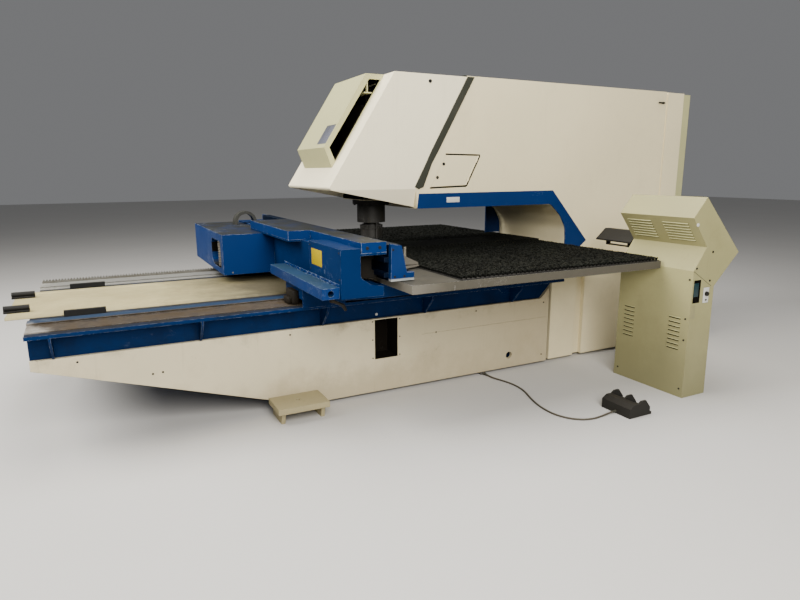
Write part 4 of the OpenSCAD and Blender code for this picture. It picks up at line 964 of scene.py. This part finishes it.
@dataclass
class Linings(Assembly):
    """Dark walls inside the recesses that the photograph shows black, as painted shade."""

    opening_x: Span = (0.5645, 0.7265)
    opening_y: Span = (-0.3155, -0.1445)
    opening_z: Span = (0.2525, 0.5255)
    hood_run: float = 1 / 1.562
    hood_brow: Span = (-0.019, 2.163)
    hood_wall: Span = (0.4460, 0.4485)
    window_rim: Span = (0.2525, 0.2835)
    nose_wall: Span = (0.1902, 0.1918)

    def build(self) -> None:
        """Line the bed's openings, the drive's window and the head's inside with painted shade."""
        shop = self.shop
        with shop.piece("opening_liners", "shade_and_joint_black", Body.FRAME, "dark_paint", None) as bm:
            (y0, y1), (z0, z1) = self.opening_y, self.opening_z
            for side, (x0, x1) in zip((1, -1), both_sides(self.opening_x)):
                shop.niche(bm, (x0, y0, z0), (x1, y1, z1), (side, 0, 0))
        with shop.piece("drive_window_liner", "shade_and_joint_black", Body.CARRIAGE, "dark_paint", None) as bm:
            shop.niche(bm, (-0.5895, -1.1105, 0.8005), (-0.2355, -1.0215, 0.9995), (0, -1, 0))
        self.head()

    def head(self) -> None:
        """Line the hood's side walls and the rim of its window with painted shade, along the
        hood's lean.
        """
        shop = self.shop
        lean = Matrix.Shear("XY", 4, (0.0, self.hood_run))
        brow_y, brow_z = self.hood_brow
        shift = Matrix.Translation((0, brow_y - brow_z * self.hood_run, 0))
        with shop.piece("head_lining", "shade_and_joint_black", Body.FRAME, "dark_paint", None) as bm:
            for (x0, x1), (r0, r1) in zip(both_sides(self.hood_wall),
                                          both_sides(self.window_rim)):
                shop.block(bm, (x0, 0.020, 1.420), (x1, 0.400, 2.145))
                shop.block(bm, (r0, -0.004, 1.541), (r1, -0.001, 2.150))
            for z0, z1 in ((1.541, 1.603), (2.105, 2.150)):
                shop.block(bm, (-0.2520, -0.004, z0), (0.2520, -0.001, z1))
            bmesh.ops.transform(bm, matrix=shift @ lean, verts=bm.verts)
            for x0, x1 in both_sides(self.nose_wall):
                shop.block(bm, (x0, -0.1516, 1.295), (x1, 0.300, 1.958))
            nose = self.nose_wall[1]
            shop.block(bm, (-nose, -0.1518, 1.295), (nose, -0.1502, 1.958))
            shop.block(bm, (-nose, -0.1518, 1.9602), (nose, 0.300, 1.9616))


@dataclass
class DriveDetails(Assembly):
    """The coiled spindle in the drive's window, the wipers and the hose clip of the bar."""

    turns: int = 15
    foot: Point = (-0.372, -1.080, 0.8015)
    coil_height: float = 0.190
    coil_radius: Span = (0.022, 0.024)
    wiper_body: Span = (0.652, 0.785)
    wiper_lip: Span = (0.668, 0.760)

    def build(self) -> None:
        """Make the spindle, the wipers and the hose clip."""
        shop = self.shop
        with shop.piece("drive_spindle", "zinc", Body.CARRIAGE, "machined_steel") as bm:
            x, y, z = self.foot
            shop.disc(bm, self.foot, (0, 0, 1), 0.011, 0.196)
            step = self.coil_height / self.turns
            inner, outer = self.coil_radius
            half = step * 0.28
            for i in range(self.turns):
                low = z + 0.003 + i * step
                shop.disc(bm, (x, y, low), (0, 0, 1), inner, half, 24, outer)
                shop.disc(bm, (x, y, low + half), (0, 0, 1), outer, half, 24, inner)
        with shop.piece("way_wipers", "black_grease", Body.CARRIAGE, "black_rubber") as bm:
            for (x0, x1), (lip0, lip1) in zip(both_sides(self.wiper_body),
                                              both_sides(self.wiper_lip)):
                shop.block(bm, (x0, -0.893, 0.7045), (x1, -0.852, 0.790), 0.006)
                shop.block(bm, (lip0, -0.915, 0.7045), (lip1, -0.893, 0.745), 0.005)
        low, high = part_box("channel_bar")
        x, y, z = high[0] - 0.035, high[1] - 0.030, low[2]
        with shop.piece("bar_hose_clip", "black_grease", Body.CARRIAGE, "dark_paint") as bm:
            shop.block(bm, (x - 0.016, y - 0.012, z - 0.024), (x + 0.016, y + 0.010, z + 0.0004),
                       0.003)
            shop.disc(bm, (x, y, z - 0.014), (0.10, 1.0, -0.50), 0.0085, 0.074, 20)
            shop.disc(bm, (x + 0.006, y + 0.060, z - 0.044), (0.05, 0.5, -1.0), 0.010, 0.034, 20,
                      0.008)


@dataclass
class HatchGasket(Assembly):
    """The dark joint round the side hatch, on its upper, rear and lower side."""

    corners: tuple[tuple[float, float], ...] = (
        (0.388, 1.6195), (0.6815, 1.6155), (0.6840, 1.6060), (0.5735, 1.3935), (0.5650, 1.3895),
        (0.262, 1.3805))
    width: float = 0.010

    def build(self) -> None:
        """Lay flat strips from corner to corner."""
        shop = self.shop
        with shop.piece("hatch_gasket", "shade_and_joint_black", Body.FRAME, "black_rubber") as bm:
            for (y0, z0), (y1, z1) in zip(self.corners, self.corners[1:]):
                made = shop.block(bm, (-0.0004, 0, -self.width / 2),
                                  (0.0008, math.hypot(y1 - y0, z1 - z0), self.width / 2))
                turn = Matrix.Rotation(math.atan2(z1 - z0, y1 - y0), 4, "X")
                bmesh.ops.transform(bm, matrix=Matrix.Translation((0.459, y0, z0)) @ turn,
                                    verts=made)
                shop.disc(bm, (0.4586, y1, z1), (1, 0, 0), self.width / 2, 0.0012, 16)


@dataclass
class ConsoleDetails(Assembly):
    """Louvre lips, keys, screen, switches and plates of the console."""

    left: float = 1.155
    right: float = 1.749
    front: float = 1.475
    head_slats: int = 7
    head_pitch: float = 0.024
    head_width: float = 0.200
    front_slats: int = 8
    front_pitch: float = 0.030
    front_width: float = 0.090
    front_low: float = 0.3285
    keys: tuple[int, int] = (10, 3)
    key_size: float = 0.024

    def build(self) -> None:
        """Make the console's small pieces."""
        self.louvres()
        self.panel()
        self.side()

    def louvres(self) -> None:
        """Make the bright lips of all the louvres and the dark behind them."""
        shop = self.shop
        bm, dark = bmesh.new(), bmesh.new()
        for x0 in (self.left + 0.040, self.left + 0.330):
            for i in range(self.head_slats):
                x1, up = x0 + self.head_width, i * self.head_pitch
                shop.block(dark, (x0, 0.0395 + up, -0.0062), (x1, 0.0495 + up, -0.0015))
                shop.block(bm, (x0, 0.0485 + up, -0.001), (x1, 0.0525 + up, 0.006), 0.0012)
        place = shop.lean((0, self.front + 0.105, 1.013), (0, -0.154, 0.192))
        bmesh.ops.transform(bm, matrix=place, verts=bm.verts)
        bmesh.ops.transform(dark, matrix=place, verts=dark.verts)
        y = self.front
        for x0 in (self.left + 0.060, self.left + 0.440):
            for i in range(self.front_slats):
                x1, z = x0 + self.front_width, self.front_low + i * self.front_pitch
                shop.block(dark, (x0, y + 0.002, z - 0.0090), (x1, y + 0.0118, z + 0.001))
                shop.block(bm, (x0, y - 0.006, z), (x1, y + 0.001, z + 0.004), 0.0012)
        shop.finish_piece(bm, "louvre_lips", "cream", Body.FRAME, "cream_paint")
        shop.finish_piece(dark, "louvre_shadows", "shade_and_joint_black", Body.FRAME, "dark_paint", None)

    def panel(self) -> None:
        """Make the key caps and the screen on the sloping panel."""
        shop = self.shop
        place = shop.lean((0, self.front + 0.432, 0.964), (0, -1, 1))
        size = self.key_size
        with shop.piece("panel_keys", "key_grey", Body.FRAME, "black_plastic") as bm:
            for i in range(self.keys[0]):
                for j in range(self.keys[1]):
                    x, y = self.left + 0.091 + i * 0.036, 0.061 + j * 0.040
                    shop.block(bm, (x, y, -0.003), (x + size, y + size, 0.0019), 0.0015)
            bmesh.ops.transform(bm, matrix=place, verts=bm.verts)
        with shop.piece("panel_screen", "screen", Body.FRAME, "black_plastic") as bm:
            shop.block(bm, (self.left + 0.081, 0.231, 0.0008),
                       (self.left + 0.379, 0.449, 0.0038), 0.0006)
            bmesh.ops.transform(bm, matrix=place, verts=bm.verts)

    def side(self) -> None:
        """Make what the console carries on its outer side."""
        shop = self.shop
        x = self.right
        # Painted shade: a dark niche inside the socket's recess.
        with shop.piece("socket_recess", "shade_and_joint_black", Body.FRAME, "dark_paint", None) as bm:
            shop.niche(bm, (x - 0.0138, 1.4892, 0.6502), (x + 0.0002, 1.5548, 0.8018), (1, 0, 0))
        with shop.piece("socket_insert", "teal", Body.FRAME, "black_plastic") as bm:
            shop.block(bm, (x - 0.0135, 1.500, 0.690), (x - 0.003, 1.545, 0.780), 0.003)
        with shop.piece("switch_plate", "plate", Body.FRAME, "cream_paint") as bm:
            shop.block(bm, (x - 0.0014, 1.5885, 0.6435), (x + 0.0015, 1.6435, 0.7465), 0.001)
        with shop.piece("switch_knob", "dark", Body.FRAME, "black_plastic") as bm:
            shop.disc(bm, (x + 0.0015, 1.616, 0.705), (1, 0, 0), 0.016, 0.014, 28, 0.013)
            shop.disc(bm, (x + 0.0015, 1.616, 0.664), (1, 0, 0), 0.006, 0.005, 20, 0.005)
        with shop.piece("side_plate", "cream_plate", Body.FRAME, "cream_paint") as bm:
            shop.block(bm, (x - 0.0005, 1.478, 0.547), (x + 0.0012, 1.522, 0.634), 0.0006)
        with shop.piece("console_cap", "plate", Body.FRAME, "cream_paint") as bm:
            shop.disc(bm, (x, 1.469, 1.161), (1, 0, 0), 0.012, 0.004, 24, 0.010)
        with shop.piece("console_screws", "dark", Body.FRAME, "dark_paint") as bm:
            for y, z in ((1.643, 0.979), (1.640, 0.790), (1.500, 0.880)):
                shop.disc(bm, (x, y, z), (1, 0, 0), 0.008, 0.004, 16, 0.006)
            for px, z in ((1.725, 0.805), (1.720, 0.542), (1.722, 0.398), (1.722, 0.060),
                          (1.190, 0.805), (1.190, 0.060)):
                shop.disc(bm, (px, self.front, z), (0, -1, 0), 0.007, 0.004, 16, 0.0055)
            made = shop.block(bm, (0, 0, -0.0012), (0.0006, 0.214, 0.0012))
            turn = Matrix.Rotation(math.atan2(0.752 - 0.862, 1.659 - 1.475), 4, "X")
            bmesh.ops.transform(bm, matrix=Matrix.Translation((x, 1.4755, 0.862)) @ turn,
                                verts=made)


@dataclass
class Plates(Assembly):
    """Bare plates in the places of the machine's signs."""

    thick: float = 0.0008

    def build(self) -> None:
        """Make the three plates and the pale cap on the bed."""
        shop = self.shop
        t = self.thick
        with shop.piece("yellow_plate", "yellow", Body.CARRIAGE, "blue_paint") as bm:
            shop.block(bm, (0.859, -0.786 - t, 0.961), (1.036, -0.786, 1.056), 0.0003)
        with shop.piece("white_plate", "plate", Body.FRAME, "blue_paint") as bm:
            shop.block(bm, (0.459, 0.401, 1.274), (0.459 + t, 0.513, 1.312), 0.0003)
            shop.disc(bm, (0.7025, -0.291, 0.559), (1, 0, 0), 0.010, 0.006, 20, 0.008)
        with shop.piece("grey_plate", "grey_plate", Body.FRAME, "cream_paint") as bm:
            shop.block(bm, (-0.090, -0.078, 0.0), (0.090, 0.078, t), 0.0003)
            top, low = Vector((0, -0.158, 2.159)), Vector((0, -0.478, 1.660))
            place = shop.lean(low.lerp(top, 0.185) + Vector((0.187, 0, 0)), low - top)
            bmesh.ops.transform(bm, matrix=place, verts=bm.verts)


@dataclass
class Screws(Assembly):
    """Screw heads that hold covers and panels."""

    sides: int = 14
    rise: float = 0.45
    taper: float = 0.82
    side_panel_x: float = 0.7275
    dark: tuple[str, str] = ("dark", "dark_paint")
    bright: tuple[str, str] = ("steel", "machined_steel")

    def build(self) -> None:
        """Make one piece of each row of equal heads."""
        x = self.side_panel_x
        rows = (
            ("opening_screws", Body.FRAME, (1, 0, 0), 0.005,
             [(x, y, z) for y in (-0.332, -0.128) for z in (0.262, 0.390, 0.516)]),
            ("cover_screws", Body.CARRIAGE, (1, 0, 0), 0.010,
             [(1.327, -0.555, 1.094), (1.327, -0.630, 1.094)]),
            ("front_box_screws", Body.CARRIAGE, (0, -1, 0), 0.0055,
             [(px, -0.786, z) for px in (0.835, 1.305) for z in (0.930, 1.074)]),
            ("panel_screws", Body.FRAME, (1, 0, 0), 0.006,
             [(x, y, z) for y, z in ((-1.711, 0.374), (-1.657, 0.377), (0.162, 0.383),
                                     (-2.080, 0.500), (-0.900, 0.500), (0.500, 0.500),
                                     (1.130, 0.500), (1.130, 0.080))]),
            ("drive_screws", Body.CARRIAGE, (1, 0, 0), 0.006, [(-0.160, -1.047, 0.776)]),
            ("rear_screws", Body.FRAME, (0, 1, 0), 0.008,
             [(px, 2.940, z) for px in (-0.430, 0.430) for z in (0.90, 1.30, 1.70, 2.08)]),
            ("end_plate_screws", Body.RAIL, (1, 0, 0), 0.007,
             [(1.357, y, z) for y, z in ((-0.48, 0.93), (-0.42, 0.93), (-0.49, 1.08))]),
        )
        for name, body, normal, radius, places in rows:
            finish, slot = self.bright if name == "drive_screws" else self.dark
            with self.shop.piece(name, finish, body, slot) as bm:
                for place in places:
                    self.shop.disc(bm, place, normal, radius, radius * self.rise, self.sides,
                                   radius * self.taper)


@dataclass
class Stage:
    """Floor, lights and the camera at the photograph's place."""

    eye: Point = (4.27425, -1.95, 1.5)
    focal_px: float = 600.81
    width_px: float = 800.0
    yaw: float = 152.772
    pitch: float = 12.0997
    roll: float = -0.2022

    def camera(self) -> None:
        """Place the camera."""
        yaw, pitch, roll = (math.radians(a) for a in (self.yaw, self.pitch, self.roll))
        forward = Vector((math.cos(yaw) * math.cos(pitch), math.sin(yaw) * math.cos(pitch),
                          -math.sin(pitch)))
        right = Vector((math.sin(yaw), -math.cos(yaw), 0.0))
        up = right.cross(forward)
        right2 = right * math.cos(roll) + up * math.sin(roll)
        up2 = up * math.cos(roll) - right * math.sin(roll)
        data = bpy.data.cameras.new("camera")
        data.sensor_fit = "HORIZONTAL"
        data.sensor_width = 36.0
        data.lens = 36.0 * self.focal_px / self.width_px
        data.clip_end = 100.0
        camera = bpy.data.objects.new("camera", data)
        axes = Matrix((right2, up2, -forward)).transposed().to_4x4()
        camera.matrix_world = Matrix.Translation(self.eye) @ axes
        bpy.context.scene.collection.objects.link(camera)
        bpy.context.scene.camera = camera

    def light(self, name: str, place: Point, target: Point, size: float, power: float,
              colour: Colour = (1.0, 0.97, 0.92)) -> None:
        """Hang one soft light.

        Args:
            name: the light's name.
            place: where it hangs.
            target: what it points at.
            size: its width.
            power: its power in watts.
            colour: its colour.
        """
        data = bpy.data.lights.new(name, "AREA")
        data.shape = "SQUARE"
        data.size = size
        data.energy = power
        data.color = colour
        lamp = bpy.data.objects.new(name, data)
        aim = (Vector(target) - Vector(place)).to_track_quat("-Z", "Y")
        lamp.matrix_world = Matrix.Translation(place) @ aim.to_matrix().to_4x4()
        bpy.context.scene.collection.objects.link(lamp)

    def floor(self) -> None:
        """Lay the pale floor and set the soft surrounding light."""
        bm = bmesh.new()
        bmesh.ops.create_grid(bm, x_segments=1, y_segments=1, size=30.0)
        mesh = bpy.data.meshes.new("floor")
        bm.to_mesh(mesh)
        bm.free()
        floor = bpy.data.objects.new("floor", mesh)
        bpy.context.scene.collection.objects.link(floor)
        material, desk, shader, where = start_material("pale_floor")
        clouds = desk.noise(where, 0.8, 4.0)
        desk.feed(shader.inputs["Base Color"],
                  desk.blend(clouds, (0.52, 0.51, 0.49), (0.56, 0.55, 0.53)))
        shader.inputs["Roughness"].default_value = 0.75
        mesh.materials.append(material)
        world = bpy.data.worlds.new("soft_room")
        world.use_nodes = True
        world.node_tree.nodes["Background"].inputs[0].default_value = (0.82, 0.83, 0.85, 1.0)
        world.node_tree.nodes["Background"].inputs[1].default_value = 0.22
        bpy.context.scene.world = world

    def build(self) -> None:
        """Set up the camera, the lights and the floor."""
        self.camera()
        self.light("key", (-1.0, -5.5, 5.2), (0.0, 0.0, 1.0), 4.0, 700.0)
        self.light("side", (6.2, -1.6, 3.9), (0.3, 0.0, 1.1), 3.5, 620.0)
        self.light("top", (0.0, 0.2, 6.0), (0.0, 0.4, 0.0), 5.0, 400.0)
        self.floor()


def main() -> None:
    """Build the whole scene in order."""
    logging.basicConfig(level=logging.INFO, format="%(message)s")
    Stage().build()
    finishes = Finishes()
    shop = Workshop(finishes)
    FootCord(shop).build()
    finishes.dress_nodes()
    for assembly in (BrushTable, Linings, DriveDetails, HatchGasket, ConsoleDetails, Plates,
                     Screws):
        assembly(shop).build()
    log.info("%d pieces made", shop.count)


if __name__ == "__main__":
    main()
